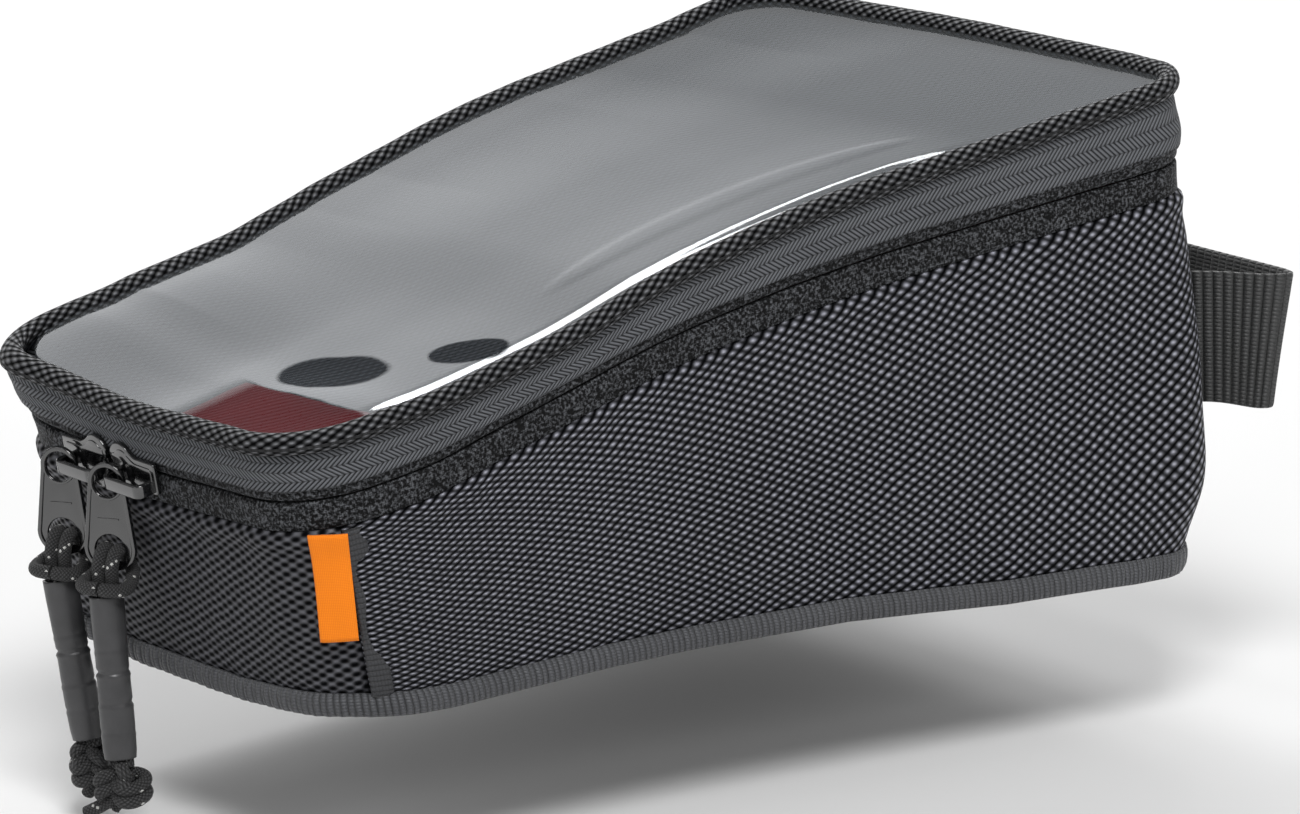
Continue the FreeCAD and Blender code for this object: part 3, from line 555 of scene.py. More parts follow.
def zip_tape(name, ribs_from):
    """Fine mottled weave by the chain, with bold slanting ribs past ribs_from mm along V if it is given."""
    n = Nodes(name)
    u, v = n.uv()
    h1, _ = n.weave(0.62, 0.62)
    big = n.noise(40, 3)
    mott = n.noise(1150, 1)
    fine = n.noise(2600, 2)
    h = n.math("MULTIPLY", n.math("MULTIPLY_ADD", h1, 0.55, 0.45), n.math("POWER", n.math("MULTIPLY_ADD", mott, 4.6, -1.85), 1.0))
    h = n.math("MAXIMUM", n.math("MINIMUM", h, 1.0), 0.0)
    if ribs_from is not None:
        fold = n.math("PINGPONG", n.math("SUBTRACT", v, ribs_from), 3.1)
        r = n.math("POWER", n.absin(n.math("ADD", u, n.math("MULTIPLY", fold, 1.1)), 1.55), 0.8)
        cut = n.absin(n.math("SUBTRACT", v, ribs_from), 3.1)
        r = n.math("MULTIPLY", r, n.math("MULTIPLY_ADD", n.math("POWER", cut, 0.3), 0.6, 0.4))
        h = n.lerp(n.math("GREATER_THAN", v, ribs_from), h, n.math("MULTIPLY", r, 1.5))
    # the colour follows the height: painted highlight on the raised threads and ribs, painted shade between them, times
    # a broad noise for random tone
    painted_shade_and_tone = n.math("MULTIPLY", n.math("POWER", n.math("MINIMUM", n.math("MULTIPLY", h, 0.8), 1.0), 1.5), n.math("MULTIPLY_ADD", big, 0.5, 0.75))
    n.set(color=n.mix(painted_shade_and_tone, (0.002, 0.002, 0.0023), (0.14, 0.146, 0.158)), rough=n.math("MULTIPLY_ADD", fine, 0.25, 0.42), spec=0.12, sheen=0.05, sheen_rough=0.4, normal=n.bump(n.math("ADD", h, n.math("MULTIPLY", fine, 0.2)), 0.34))
    return n.m


M_TAPE_LOW = zip_tape("zip_tape", None)
M_TAPE_UP = zip_tape("zip_tape_lid", 3.4)


def hard(name, color, rough, metal=0.0, coat=0.0, grain=0.05, spec=0.5):
    n = Nodes(name)
    f = n.noise(260, 3)
    sm = n.noise(45, 3)
    n.set(color=n.mix(sm, tuple(0.8 * x for x in color), tuple(min(1.2 * x, 1) for x in color)), rough=n.math("MULTIPLY_ADD", f, grain, rough), metal=metal, coat=coat, coat_rough=0.06, spec=spec, normal=n.bump(f, 0.02))
    return n.m


M_SLIDER = hard("slider_black", (0.004, 0.004, 0.0045), 0.13, coat=1.0, spec=0.9, grain=0.03)
M_TAB = hard("tab_black", (0.003, 0.003, 0.0034), 0.15, coat=1.0, spec=0.9, grain=0.03)
M_PAD = fabric("grip_rubber", (0.008, 0.008, 0.009), (0.02, 0.02, 0.021), 1.6, 1.6, 0.25, rough=0.7, spec=0.3, sheen=0.0)
M_BOARD = hard("board_plastic", (0.05, 0.05, 0.05), 0.5)
M_MAGNET = hard("magnet", (0.5, 0.5, 0.52), 0.3, metal=1.0)


def sleeve_material():
    n = Nodes("sleeve_rubber")
    f, g = n.noise(900, 3), n.noise(160, 3)
    n.set(color=n.mix(g, (0.03, 0.03, 0.031), (0.062, 0.062, 0.065)), rough=n.math("MULTIPLY_ADD", f, 0.16, 0.3), spec=0.5, normal=n.bump(n.math("ADD", f, n.math("MULTIPLY", g, 1.5)), 0.08))
    return n.m


M_SLEEVE = sleeve_material()


def cord_material(name, length_mm, girth_mm, curve):
    """Braid with light flecks. On a curve, U runs 0 to 1 along it and V round it; on a mesh, both are in mm."""
    n = Nodes(name)
    if curve:
        t = n.node("ShaderNodeTexCoord")
        s = n.node("ShaderNodeSeparateXYZ")
        n.t.links.new(t.outputs["UV"], s.inputs[0])
        u, v = n.math("MULTIPLY", s.outputs[0], length_mm), n.math("MULTIPLY", s.outputs[1], girth_mm)
    else:
        u, v = n.uv()
    q = girth_mm / 10
    a = n.math("ADD", u, v)
    b = n.math("SUBTRACT", u, v)
    h, par = n.weave(q, q, a, b)
    cell = n.node("ShaderNodeTexWhiteNoise", noise_dimensions="2D")
    comb = n.node("ShaderNodeCombineXYZ")
    n.put(comb.inputs[0], n.math("FLOOR", n.math("DIVIDE", a, q)))
    n.put(comb.inputs[1], n.math("FLOOR", n.math("DIVIDE", b, q)))
    n.t.links.new(comb.outputs[0], cell.inputs["Vector"])
    # two of the carriers hold a light thread, seen where it lies on top
    stripe = n.math("LESS_THAN", n.math("MODULO", n.math("ADD", n.math("FLOOR", n.math("DIVIDE", b, q)), 800.0), 10.0), 0.9)
    light = n.math("MULTIPLY", n.math("MULTIPLY", stripe, par), n.math("GREATER_THAN", cell.outputs["Value"], 0.62))
    fine = n.noise(2600, 2)
    # painted shade in the braid's recesses and painted highlight on the raised strands; the light flecks are the real
    # light thread
    base = n.mix(n.math("POWER", h, 2.0), (0.0015, 0.0015, 0.0015), (0.06, 0.06, 0.062))
    n.set(color=n.mix(light, base, (0.6, 0.6, 0.58)), rough=n.math("MULTIPLY_ADD", fine, 0.2, 0.5), spec=0.35, sheen=0.05, normal=n.bump(n.math("ADD", h, n.math("MULTIPLY", fine, 0.2)), 0.4))
    return n.m


def vinyl_material():
    """Clear glossy film: mostly see-through, with a faint haze."""
    n = Nodes("clear_vinyl")
    t = n.t
    out = t.nodes["Material Output"]
    w = n.noise(14, 2)
    nrm = n.bump(w, 0.5, 0.3)
    n.set(color=(0.62, 0.65, 0.70), rough=0.05, spec=0.9, coat=1.0, coat_rough=0.03, normal=nrm)
    tr = n.node("ShaderNodeBsdfTransparent")
    tr.inputs[0].default_value = (0.80, 0.83, 0.86, 1)
    gl = n.node("ShaderNodeBsdfGlossy")
    gl.inputs["Roughness"].default_value = 0.06
    gl.inputs["Color"].default_value = (0.95, 0.97, 1.0, 1)
    n.put(gl.inputs["Normal"], nrm)
    fr = n.node("ShaderNodeFresnel")
    fr.inputs["IOR"].default_value = 1.62
    n.put(fr.inputs["Normal"], nrm)
    haze = n.node("ShaderNodeBsdfDiffuse")
    haze.inputs["Color"].default_value = (0.42, 0.43, 0.43, 1)
    m1 = n.node("ShaderNodeMixShader")
    m1.inputs[0].default_value = 0.05
    t.links.new(tr.outputs[0], m1.inputs[1])
    t.links.new(haze.outputs[0], m1.inputs[2])
    m2 = n.node("ShaderNodeMixShader")
    sep = n.node("ShaderNodeSeparateXYZ")
    t.links.new(n.obj(), sep.inputs[0])
    ox, oy = n.math("MULTIPLY", sep.outputs[0], 1000.0), n.math("MULTIPLY", sep.outputs[1], 1000.0)
    nx = n.math("MULTIPLY_ADD", n.noise(38, 2), 6.0, -3.0)
    # painted reflection: the film's reflection and haze are cut out in two ovals, where the pocket beneath shows
    # through
    painted_glare_cut = 0.0
    for cx, cy, m11, m12, m21, m22 in ((-114.5, -27.0, 0.0506, -0.0401, 0.0700, 0.0420), (-91.0, -55.0, 0.0700, -0.0550, 0.1000, 0.0780)):
        dx, dy = n.math("ADD", n.math("SUBTRACT", ox, cx), nx), n.math("SUBTRACT", oy, cy)
        p_ = n.math("ADD", n.math("MULTIPLY", dx, m11), n.math("MULTIPLY", dy, m12))
        q_ = n.math("ADD", n.math("MULTIPLY", dx, m21), n.math("MULTIPLY", dy, m22))
        r_ = n.math("SQRT", n.math("ADD", n.math("MULTIPLY", p_, p_), n.math("MULTIPLY", q_, q_)))
        one = n.math("MINIMUM", n.math("MAXIMUM", n.math("MULTIPLY_ADD", r_, -9.0, 9.0), 0.0), 1.0)
        painted_glare_cut = n.math("MAXIMUM", one, painted_glare_cut)
    # the reflection and haze are also cut out along the low edge, on the near side
    lip = n.math("SUBTRACT", n.math("SUBTRACT", n.math("MULTIPLY", n.math("ADD", oy, 30.0), 0.06), n.math("ADD", ox, 130.0)), nx)
    lip = n.math("MINIMUM", n.math("MAXIMUM", n.math("MULTIPLY", lip, 0.8), 0.0), 1.0)
    fade = n.math("MINIMUM", n.math("MAXIMUM", n.math("MULTIPLY_ADD", n.math("ADD", oy, 4.0), -0.09, 0.0), 0.0), 1.0)
    painted_glare_cut = n.math("MAXIMUM", painted_glare_cut, n.math("MULTIPLY", lip, fade))
    # painted shade on the reflection: its strength fades from 1 to 0.36 towards the high end
    painted_reflection_fade = n.math("MINIMUM", n.math("MAXIMUM", n.math("MULTIPLY_ADD", ox, -0.0058, 0.768), 0.36), 1.0)
    glare_and_haze_left = n.math("MULTIPLY_ADD", painted_glare_cut, -0.93, 1.0)
    # the film is a closed shell: only its outer faces reflect, or light would be trapped between the two
    outer_ = n.math("SUBTRACT", 1.0, n.node("ShaderNodeNewGeometry").outputs["Backfacing"])
    t.links.new(n.math("MULTIPLY", n.math("MULTIPLY", n.math("MULTIPLY", fr.outputs[0], painted_reflection_fade), glare_and_haze_left), outer_), m2.inputs[0])
    t.links.new(n.math("MULTIPLY", glare_and_haze_left, 0.05), m1.inputs[0])
    t.links.new(m1.outputs[0], m2.inputs[1])
    t.links.new(gl.outputs[0], m2.inputs[2])
    t.links.new(m2.outputs[0], out.inputs["Surface"])
    return n.m


M_VINYL = vinyl_material()


def add(o, material, body, slot, *nodes):
    o.data.materials.append(material)
    if body:
        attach(o, body)
    if nodes:
        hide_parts(*nodes)
    return o


def pocket_material():
    n = Nodes("pocket_cloth")
    u, v = n.uv()
    uu, vv = n.math("DIVIDE", u, 4.2), n.math("DIVIDE", v, 2.6)
    a = n.math("MULTIPLY_ADD", n.math("COSINE", n.math("MULTIPLY", n.math("ADD", uu, vv), 2 * math.pi)), -0.5, 0.5)
    b = n.math("MULTIPLY_ADD", n.math("COSINE", n.math("MULTIPLY", n.math("SUBTRACT", uu, vv), 2 * math.pi)), 0.5, 0.5)
    h = n.math("MULTIPLY", n.math("POWER", a, 0.75), n.math("MULTIPLY_ADD", b, 0.7, 0.3))
    sep = n.node("ShaderNodeSeparateXYZ")
    n.t.links.new(n.obj(), sep.inputs[0])
    edge = n.math("ADD", n.math("MULTIPLY", sep.outputs[0], 1000.0), n.math("MULTIPLY_ADD", n.noise(38, 2), 8.0, -4.0))
    side_ = n.math("ADD", n.math("MULTIPLY", sep.outputs[1], 1000.0), n.math("MULTIPLY_ADD", n.noise(38, 2), 8.0, -4.0))
    red = n.math("MULTIPLY", n.math("LESS_THAN", edge, -126.5), n.math("LESS_THAN", side_, -4.0))
    # the black weave's colour follows its height: painted highlight on the raised threads, painted shade in the gaps
    black = n.mix(n.math("POWER", h, 1.6), (0.002, 0.002, 0.0024), (0.05, 0.052, 0.06))
    cloth = n.mix(n.noise(30, 3), (0.10, 0.0006, 0.001), (0.24, 0.002, 0.004))
    n.set(color=n.mix(red, black, cloth), rough=0.6, spec=0.06, sheen=0.0, normal=n.bump(h, 0.3))
    return n.m


# -------------------------------------------------------------- wall layers
BIND_TOP = 6.2
WALL_TOP = -8.5 / _c
C_RN = col_at_u("near", 10.9)
C_RF = col_at_u("far", 10.9)
C_FN = col_at_y(-62.0) % M
C_FF = col_at_y(62.0) % M


def panel_z(p, v):
    lo, hi = BIND_TOP - 0.9, chain(p[:, 0]) + WALL_TOP + 1.0
    return lo + (hi - lo) * v


def puff(seams, fold=1.5, belly=1.2, seed=1):
    """The lie of a padded panel: it stands out between its seams, tucks in along them, and puckers there."""

    def out(p, s, v, zc):
        h = (chain(p[:, 0]) + WALL_TOP - BIND_TOP) * v
        top = (chain(p[:, 0]) + WALL_TOP - BIND_TOP) * (1 - v)
        o = belly * smooth(h / 18) * smooth(top / 16)
        # the rounded fold under the tape
        o = o + fold * np.exp(-(((top - 3.4) / 3.2) ** 2)) - 1.9 * np.exp(-((top / 1.5) ** 2))
        o = o - 0.9 * np.exp(-((h / 1.6) ** 2))
        for s0, depth, width in seams:
            d = np.abs((s - s0 + PERIM / 2) % PERIM - PERIM / 2)
            o = o - depth * np.exp(-((d / width) ** 2))
            o = o + 0.35 * np.sin(h / 2.6 + ripple(p, 60, 5)) * np.exp(-((d / 9) ** 2)) * smooth(d / 2)
        pk = np.sin(s / 2.9 + 2.2 * ripple(p, 70, 2)) * 0.28 * (np.exp(-(((top - 6) / 6) ** 2)) + 0.8 * np.exp(-((h / 6) ** 2)))
        return o + pk + 0.45 * ripple(p, 90, seed) + 0.16 * ripple(p, 28, seed + 7)

    return out


ROWS = np.concatenate([np.linspace(0, 0.08, 5), np.linspace(0.1, 0.88, 27), np.linspace(0.9, 1.0, 9)])
S_RN, S_RF = float(arc_of(C_RN)), float(arc_of(C_RF))
S_FN, S_FF = float(arc_of(C_FN)), float(arc_of(C_FF))
rear = wall_shell("rear_end_panel_cloth", columns(C_RN, C_RF, 1.3), False, panel_z, ROWS, puff([(S_RN, 0.9, 1.6), (S_RF, 0.9, 1.6)], belly=0.9, seed=3), 1.4)
add(rear, M_REAR, "bag_body", "coated_fabric", "rear_end_panel")
right = wall_shell("right_side_panel_cloth", columns(C_FN, C_RN, 1.6), False, panel_z, ROWS, puff([(S_RN, 1.0, 1.8), (S_FN, 0.7, 1.6)], belly=1.9, seed=4), 1.4)
add(right, M_PANEL, "bag_body", "coated_fabric", "right_side_panel")
left = wall_shell("left_side_panel_cloth", columns(C_RF, C_FF, 1.6), False, panel_z, ROWS, puff([(S_RF, 1.0, 1.8), (S_FF, 0.7, 1.6)], belly=1.9, seed=5), 1.4)
add(left, M_PANEL, "bag_body", "coated_fabric", "left_side_panel")
front = wall_shell("front_end_panel_cloth", columns(C_FF, C_FN + M, 1.6), False, panel_z, ROWS, puff([(S_FF, 0.7, 1.6), (S_FN, 0.7, 1.6)], belly=1.6, seed=6), 1.4)
add(front, M_PANEL, "bag_body", "coated_fabric", "front_end_panel")

LAYER_ROWS = np.linspace(0, 1, 9)


def layer_z(lo, drop):
    return lambda p, v: lo + (chain(p[:, 0]) + WALL_TOP - drop - lo) * v


def layer(name, c0, c1, out, thick, lo, drop, seed):
    cols = columns(step=4) if c0 is None else columns(c0, c1, 4)
    return wall_shell(name, cols, c0 is None, layer_z(lo, drop), LAYER_ROWS, lambda p, s, v, zc: out + 0.15 * ripple(p, 40, seed) - bulge(s, zc, p), thick)


for name, a, b, node in (
    ("rear_foam_sheet", C_RN, C_RF, "rear_foam"),
    ("right_foam_sheet", C_FN + 1, C_RN - 1, "right_side_foam"),
    ("left_foam_sheet", C_RF + 1, C_FF - 1, "left_side_foam"),
    ("front_foam_sheet", C_FF, C_FN + M, "front_foam"),
):
    o = layer(name, a, b, -1.9, 3.5, BIND_TOP + 0.5, 1.4, 8)
    add(o, M_FOAM, "bag_body", "foam", node)


def plate(name, z_of, inset, thick, cols, lid=False, rings=14, out=None):
    """A sheet across the bag's whole outline, closed, drawn in by inset. z_of(p) is its top's height."""
    p, k = at_height(cols, z_of)
    n = normals(cols, k)
    edge = p - n * inset
    x0, x1 = XR + 62, XR + L - 85
    spine = np.stack([np.clip(edge[:, 0], x0, x1), np.zeros(len(edge)), edge[:, 2]], 1)
    tops, bots = [], []
    for j in range(rings + 1):
        f = (j / rings) ** 0.8
        q = spine + (edge - spine) * f
        q[:, 2] = z_of(q)
        if out is not None:
            q[:, 2] += out(q, f)
        tops.append(settle(q))
        r = q.copy()
        r[:, 2] -= thick
        bots.append(settle(r))
    C, R = len(cols), rings + 1
    verts = np.concatenate([np.stack(tops, 1).reshape(-1, 3), np.stack(bots, 1).reshape(-1, 3)])
    off = C * R
    faces, uvs = [], []

    def face(*ids):
        faces.append(ids)
        for i in ids:
            uvs.append((verts[i][0] + 200, verts[i][1] + 200))

    for i in range(C):
        j = (i + 1) % C
        for r in range(R - 1):
            face(i * R + r, j * R + r, j * R + r + 1, i * R + r + 1)
            face(off + i * R + r + 1, off + j * R + r + 1, off + j * R + r, off + i * R + r)
        face(i * R + R - 1, j * R + R - 1, off + j * R + R - 1, off + i * R + R - 1)
    # close the slit along the spine: drop the innermost ring's doubles
    o = make_object(name, verts, faces, uvs)
    bm = bmesh.new()
    bm.from_mesh(o.data)
    bmesh.ops.remove_doubles(bm, verts=bm.verts, dist=2e-5)
    holes = [e for e in bm.edges if e.is_boundary]
    if holes:
        bmesh.ops.holes_fill(bm, edges=holes, sides=0)
    bmesh.ops.dissolve_degenerate(bm, edges=bm.edges, dist=1e-6)
    bmesh.ops.recalc_face_normals(bm, faces=bm.faces)
    bm.to_mesh(o.data)
    bm.free()
    o.data.polygons.foreach_set("use_smooth", [True] * len(o.data.polygons))
    return o


COARSE = columns(step=4)
flat = lambda z: (lambda p: np.full(len(p), float(z)))
add(plate("grip_pad_sheet", flat(2.1), 1.9, 2.1, COARSE), M_PAD, "bag_body", "grip_rubber", "grip_pad")
add(plate("base_cloth", flat(3.7), 1.9, 1.5, COARSE), M_HINGE, "bag_body", "woven_nylon", "base_panel")
o = add(plate("base_foam_sheet", flat(8.2), 6.3, 4.3, COARSE), M_FOAM, "bag_body", "foam", "base_foam")
add(plate("stiffener_sheet", flat(10.3), 6.3, 1.9, COARSE), M_BOARD, "bag_body", "board_plastic", "stiffener_board")

# lining: a wall and a floor in one piece
LIN = columns(step=3)
lw = wall_shell("lining_cloth", LIN, True, layer_z(11.2, 1.4), np.linspace(0, 1, 24), lambda p, s, v, zc: -5.9 + 0.5 * ripple(p, 30, 11) * smooth(v * 6) - bulge(s, zc, p) - 0.3 * np.sin(s / 5) * smooth((v - 0.7) / 0.3), 0.7)
lf = plate("lining_floor", flat(11.4), 6.4, 0.7, LIN, out=lambda q, f: 0.35 * ripple(q, 45, 12))
bpy.context.view_layer.update()
bm = bmesh.new()
bm.from_mesh(lw.data)
bm.from_mesh(lf.data)
bm.to_mesh(lw.data)
bm.free()
bpy.data.objects.remove(lf)
lw.data.polygons.foreach_set("use_smooth", [True] * len(lw.data.polygons))
add(lw, M_LINING, "bag_body", "red_lining", "lining")


def over(z0, z1):
    return lambda p, v: z0 + (z1 - z0) * v


# base binding: a ribbed tape folded round the base's edge
def ribs(s, h, o):
    return o + np.where(o > 0, 0.42 * (np.abs(np.sin(s * math.pi / 3.7 + 0.15 * np.sin(s / 9))) - 0.5) + 0.12 * np.sin(s / 2.3), 0)


BIND = [(0.15, -1.7), (-0.25, -0.2), (0.2, 0.75), (1.4, 1.35), (3.1, 1.6), (4.8, 1.45), (6.0, 1.0), (6.6, 0.35), (6.5, -0.4), (5.0, -1.2), (2.5, -1.6)]
b = sweep("base_binding_tape", columns(step=0.75), True, lambda p, h: np.full(len(p), float(h)), BIND, wave=ribs)
add(b, M_BIND, "bag_body", "binding_tape", "base_binding")

# zip band
C_T0, C_T1 = col_at_y(-66.0) % M, col_at_y(66.0) % M


def chain_plus(p, h):
    return chain(p[:, 0]) + h


def tape_out(lo, hi, lid):
    def out(p, s, v, zc):
        o = 0.12 * ripple(p, 40, 21) + 0.1 * ripple(p, 14, 22)
        o = o - 1.0 * np.exp(-((zc / 0.75) ** 2))
        if lid:
            top = chain(p[:, 0]) + 13.8 + extra(p[:, 0]) - p[:, 2]
            o = o + 0.75 * smooth((zc - 2.6) / 1.4) * smooth(top / 3.2 + 0.35) - 0.25 * np.exp(-(((zc - 2.9) / 0.5) ** 2))
        else:
            o = o + 0.12
        return o

    return out


def lower_z(p, v):
    return chain(p[:, 0]) - 8.4 + 8.15 * v


def upper_z(p, v):
    return chain(p[:, 0]) + 0.25 + (13.9 + extra(p[:, 0])) * v


TAPE_COLS = columns(C_T0, C_T1, 1.2)
t = wall_shell("body_tape", TAPE_COLS, False, lower_z, np.concatenate([np.linspace(0, 0.8, 8), np.linspace(0.84, 1, 6)]), tape_out(0, 0, False), 0.75)
add(t, M_TAPE_LOW, "bag_body", "zip_tape", "body_zip_tape")
t = wall_shell("lid_tape", TAPE_COLS, False, upper_z, np.concatenate([np.linspace(0, 0.12, 6), np.linspace(0.15, 0.35, 8), np.linspace(0.4, 1, 12)]), tape_out(0, 0, True), 0.75)
add(t, M_TAPE_UP, "lid", "zip_tape", "lid_zip_tape")
COIL = [(0, 0.0), (0.75, 0.3), (1.05, 1.0), (0.75, 1.7), (0, 2.0), (-0.75, 1.7), (-1.05, 1.0), (-0.75, 0.3)]
for name, mid, body, node in (("body_coil", -1.3, "bag_body", "body_zip_coil"), ("lid_coil", 1.3, "lid", "lid_zip_coil")):
    sec = [(mid + h, -0.95 - d) for h, d in COIL]
    o = sweep(name, TAPE_COLS, False, lambda p, h: chain(p[:, 0]) + h, sec)
    add(o, M_COIL, body, "zip_coil", node)

# corner seam strips and the label
for side, c, sgn, node in (("right", C_RN, -1, "right_corner_strip"), ("left", C_RF, 1, "left_corner_strip")):
    s0 = float(arc_of(c))
    a, b2 = (s0 - 6.3, s0 - 0.3) if side == "right" else (s0 + 0.3, s0 + 6.3)
    c0, c1 = float(col_of(a)), float(col_of(b2))

    def strip_out(p, s, v, zc, s0=s0):
        d = np.abs(s - s0)
        h = (chain(p[:, 0]) + WALL_TOP - BIND_TOP) * v
        return 0.95 + 0.5 * np.exp(-(((d - 1.4) / 1.2) ** 2)) - 0.55 * smooth((d - 3.5) / 3) + 0.2 * np.sin(h / 3.1) + 0.15 * ripple(p, 20, 31)

    o = wall_shell(f"{side}_seam_tape", columns(c0, c1, 0.5), False, lambda p, v: (BIND_TOP - 0.2) + (chain(p[:, 0]) + WALL_TOP - 0.8 - BIND_TOP) * v, np.linspace(0, 1, 40), strip_out, 0.8)
    add(o, M_STRIP, "bag_body", "binding_tape", node)

s0 = S_RN
lab_c = columns(float(col_of(s0 - 0.4)), float(col_of(s0 + 9.0)), 0.5)


def label_out(p, s, v, zc):
    d = s - s0
    return 2.0 + 0.35 * np.sin(np.clip(d, 0, 9) / 9 * math.pi) + 0.7 * smooth((d - 4.5) / 4.5) * (0.4 + 0.6 * np.abs(v - 0.5) * 2) + 1.3 * smooth((v - 0.72) / 0.28) + 0.08 * ripple(p, 12, 41)


o = wall_shell("side_label_cloth", lab_c, False, over(22.5, 52.5), np.linspace(0, 1, 26), label_out, 0.7)
for v_ in o.data.vertices:
    v_.co.x += 0.0013 * (v_.co.z * 1000 - 37.5) / 15
add(o, M_LABEL, "bag_body", "label_fabric", "side_label")

# cloth hinge across the front
H0, H1 = col_at_y(64.0) % M, col_at_y(-64.0) % M + M
o = wall_shell("lid_hinge_cloth", columns(H0, H1, 2.0), False, lambda p, v: chain(p[:, 0]) - 14 + (27.5 + extra(p[:, 0])) * v, np.linspace(0, 1, 30), lambda p, s, v, zc: 0.85 + 0.35 * np.exp(-((zc / 3) ** 2)) + 0.2 * ripple(p, 35, 51), 0.7)
o.data.materials.append(M_HINGE)
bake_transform(o)
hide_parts("lid_hinge_strip")

# ----------------------------------------------------------------------- lid
RM = 17.2
ROLL_Q = 22


def roll_section(r, squash=1.0):
    return [(RM + r * math.sin(2 * math.pi * i / ROLL_Q) * squash, -0.3 + r * math.cos(2 * math.pi * i / ROLL_Q)) for i in range(ROLL_Q)]


def lid_plus(p, h):
    return chain(p[:, 0]) + extra(p[:, 0]) + h


o = sweep("lid_roll_cloth", columns(step=1.1), True, lid_plus, roll_section(3.25), wave=lambda s, h, oo: oo + 0.1 * np.sin(s / 3.3) + 0.09 * np.sin(s / 7.7 + 1))
add(o, M_ROLL, "lid", "woven_nylon", "lid_edge_roll")


def lid_z(drop):
    return lambda p: chain(p[:, 0]) + extra(p[:, 0]) + RM - drop


FINE = columns(step=2.2)


def film(q, f):
    """The film's lie: slow waves, a crown along the near edge, a long ripple beside it, and a few buckles in the near low corner."""
    x, y = q[:, 0], q[:, 1]
    g = smooth((1 - f) / 0.25)
    out = g * (0.32 * ripple(np.stack([x, y * 1.6, 0 * x], 1), 190, 61))
    hw = half_width(x - XR, chain(x) + 17)
    edge = hw + y
    along = smooth((x + 150) / 30) * smooth((78 - x) / 40)
    out = out + 1.15 * smooth((edge - 6.0) / 6.5) * along - 0.9 * smooth((edge - 16) / 42) * along
    # the long ripple
    t = (x + 60) / 122
    mid_ = -49.0 - 14.0 * np.clip(t, 0, 1) + 3.5 * np.sin(np.clip(t, 0, 1) * math.pi)
    w_ = 5.0 * np.sqrt(np.clip(1 - (2 * np.clip(t, 0, 1) - 1) ** 2, 0.0, 1)) + 0.8
    out = out + 0.34 * np.exp(-(((y - mid_) / w_) ** 4)) * smooth((t + 0.02) / 0.12) * smooth((1.02 - t) / 0.12)
    # buckles in the low corner
    for cx_, cy_, lx, ly, turn_, amp in ((-119, -29, 18, 14.0, -0.5, -0.12), (-93, -54, 14, 11.0, -0.75, -0.1)):
        dx, dy = x - cx_, y - cy_
        p_, r_ = dx * math.cos(turn_) + dy * math.sin(turn_), -dx * math.sin(turn_) + dy * math.cos(turn_)
        out = out + amp * np.exp(-((p_ / lx) ** 2) - ((r_ / ly) ** 2)) * smooth((1 - f) / 0.06)
    return out


o = plate("window_film", lid_z(-0.4), 2.6, 0.5, columns(step=1.7), rings=60, out=lambda q, f: film(q, f))
add(o, M_VINYL, "lid", "clear_vinyl", "clear_window")
o = plate("map_pocket_cloth", lid_z(1.3), 3.2, 0.7, FINE, rings=34, out=lambda q, f: 0.45 * ripple(q, 40, 63) * smooth((1 - f) / 0.1) - 0.6)
add(o, pocket_material(), "lid", "red_lining", "map_pocket_back")
o = plate("lid_foam_sheet", lid_z(3.0), 3.4, 2.8, COARSE)
add(o, M_FOAM, "lid", "foam", "lid_foam")
o = plate("lid_lining_cloth", lid_z(6.1), 1.5, 0.7, FINE, out=lambda q, f: 0.3 * ripple(q, 40, 64) * smooth((1 - f) / 0.1))
add(o, M_LINING, "lid", "red_lining", "lid_lining")

# --------------------------------------------------------------- hard pieces


def arc3(p0, p1, p2, n=10):
    """Points after p0 on the arc through p0, p1 and p2."""
    ax, ay, bx, by, cx, cy = *p0, *p1, *p2
    dd = 2 * (ax * (by - cy) + bx * (cy - ay) + cx * (ay - by))
    ux = ((ax**2 + ay**2) * (by - cy) + (bx**2 + by**2) * (cy - ay) + (cx**2 + cy**2) * (ay - by)) / dd
    uy = ((ax**2 + ay**2) * (cx - bx) + (bx**2 + by**2) * (ax - cx) + (cx**2 + cy**2) * (bx - ax)) / dd
    r = math.hypot(ax - ux, ay - uy)
    a0, a1, a2 = (math.atan2(y - uy, x - ux) for x, y in (p0, p1, p2))
    turn = (a2 - a0) % (2 * math.pi)
    if (a1 - a0) % (2 * math.pi) > turn:
        turn -= 2 * math.pi
    return [(ux + r * math.cos(a0 + turn * i / n), uy + r * math.sin(a0 + turn * i / n)) for i in range(1, n + 1)]


def outline2d(points):
    out = [points[0]]
    for p in list(points[1:]) + [points[0]]:
        if isinstance(p[0], tuple):
            out += arc3(out[-1], p[0], p[1])
        else:
            out.append(p)
    if math.dist(out[0], out[-1]) < 1e-6:
        out.pop()
    return out


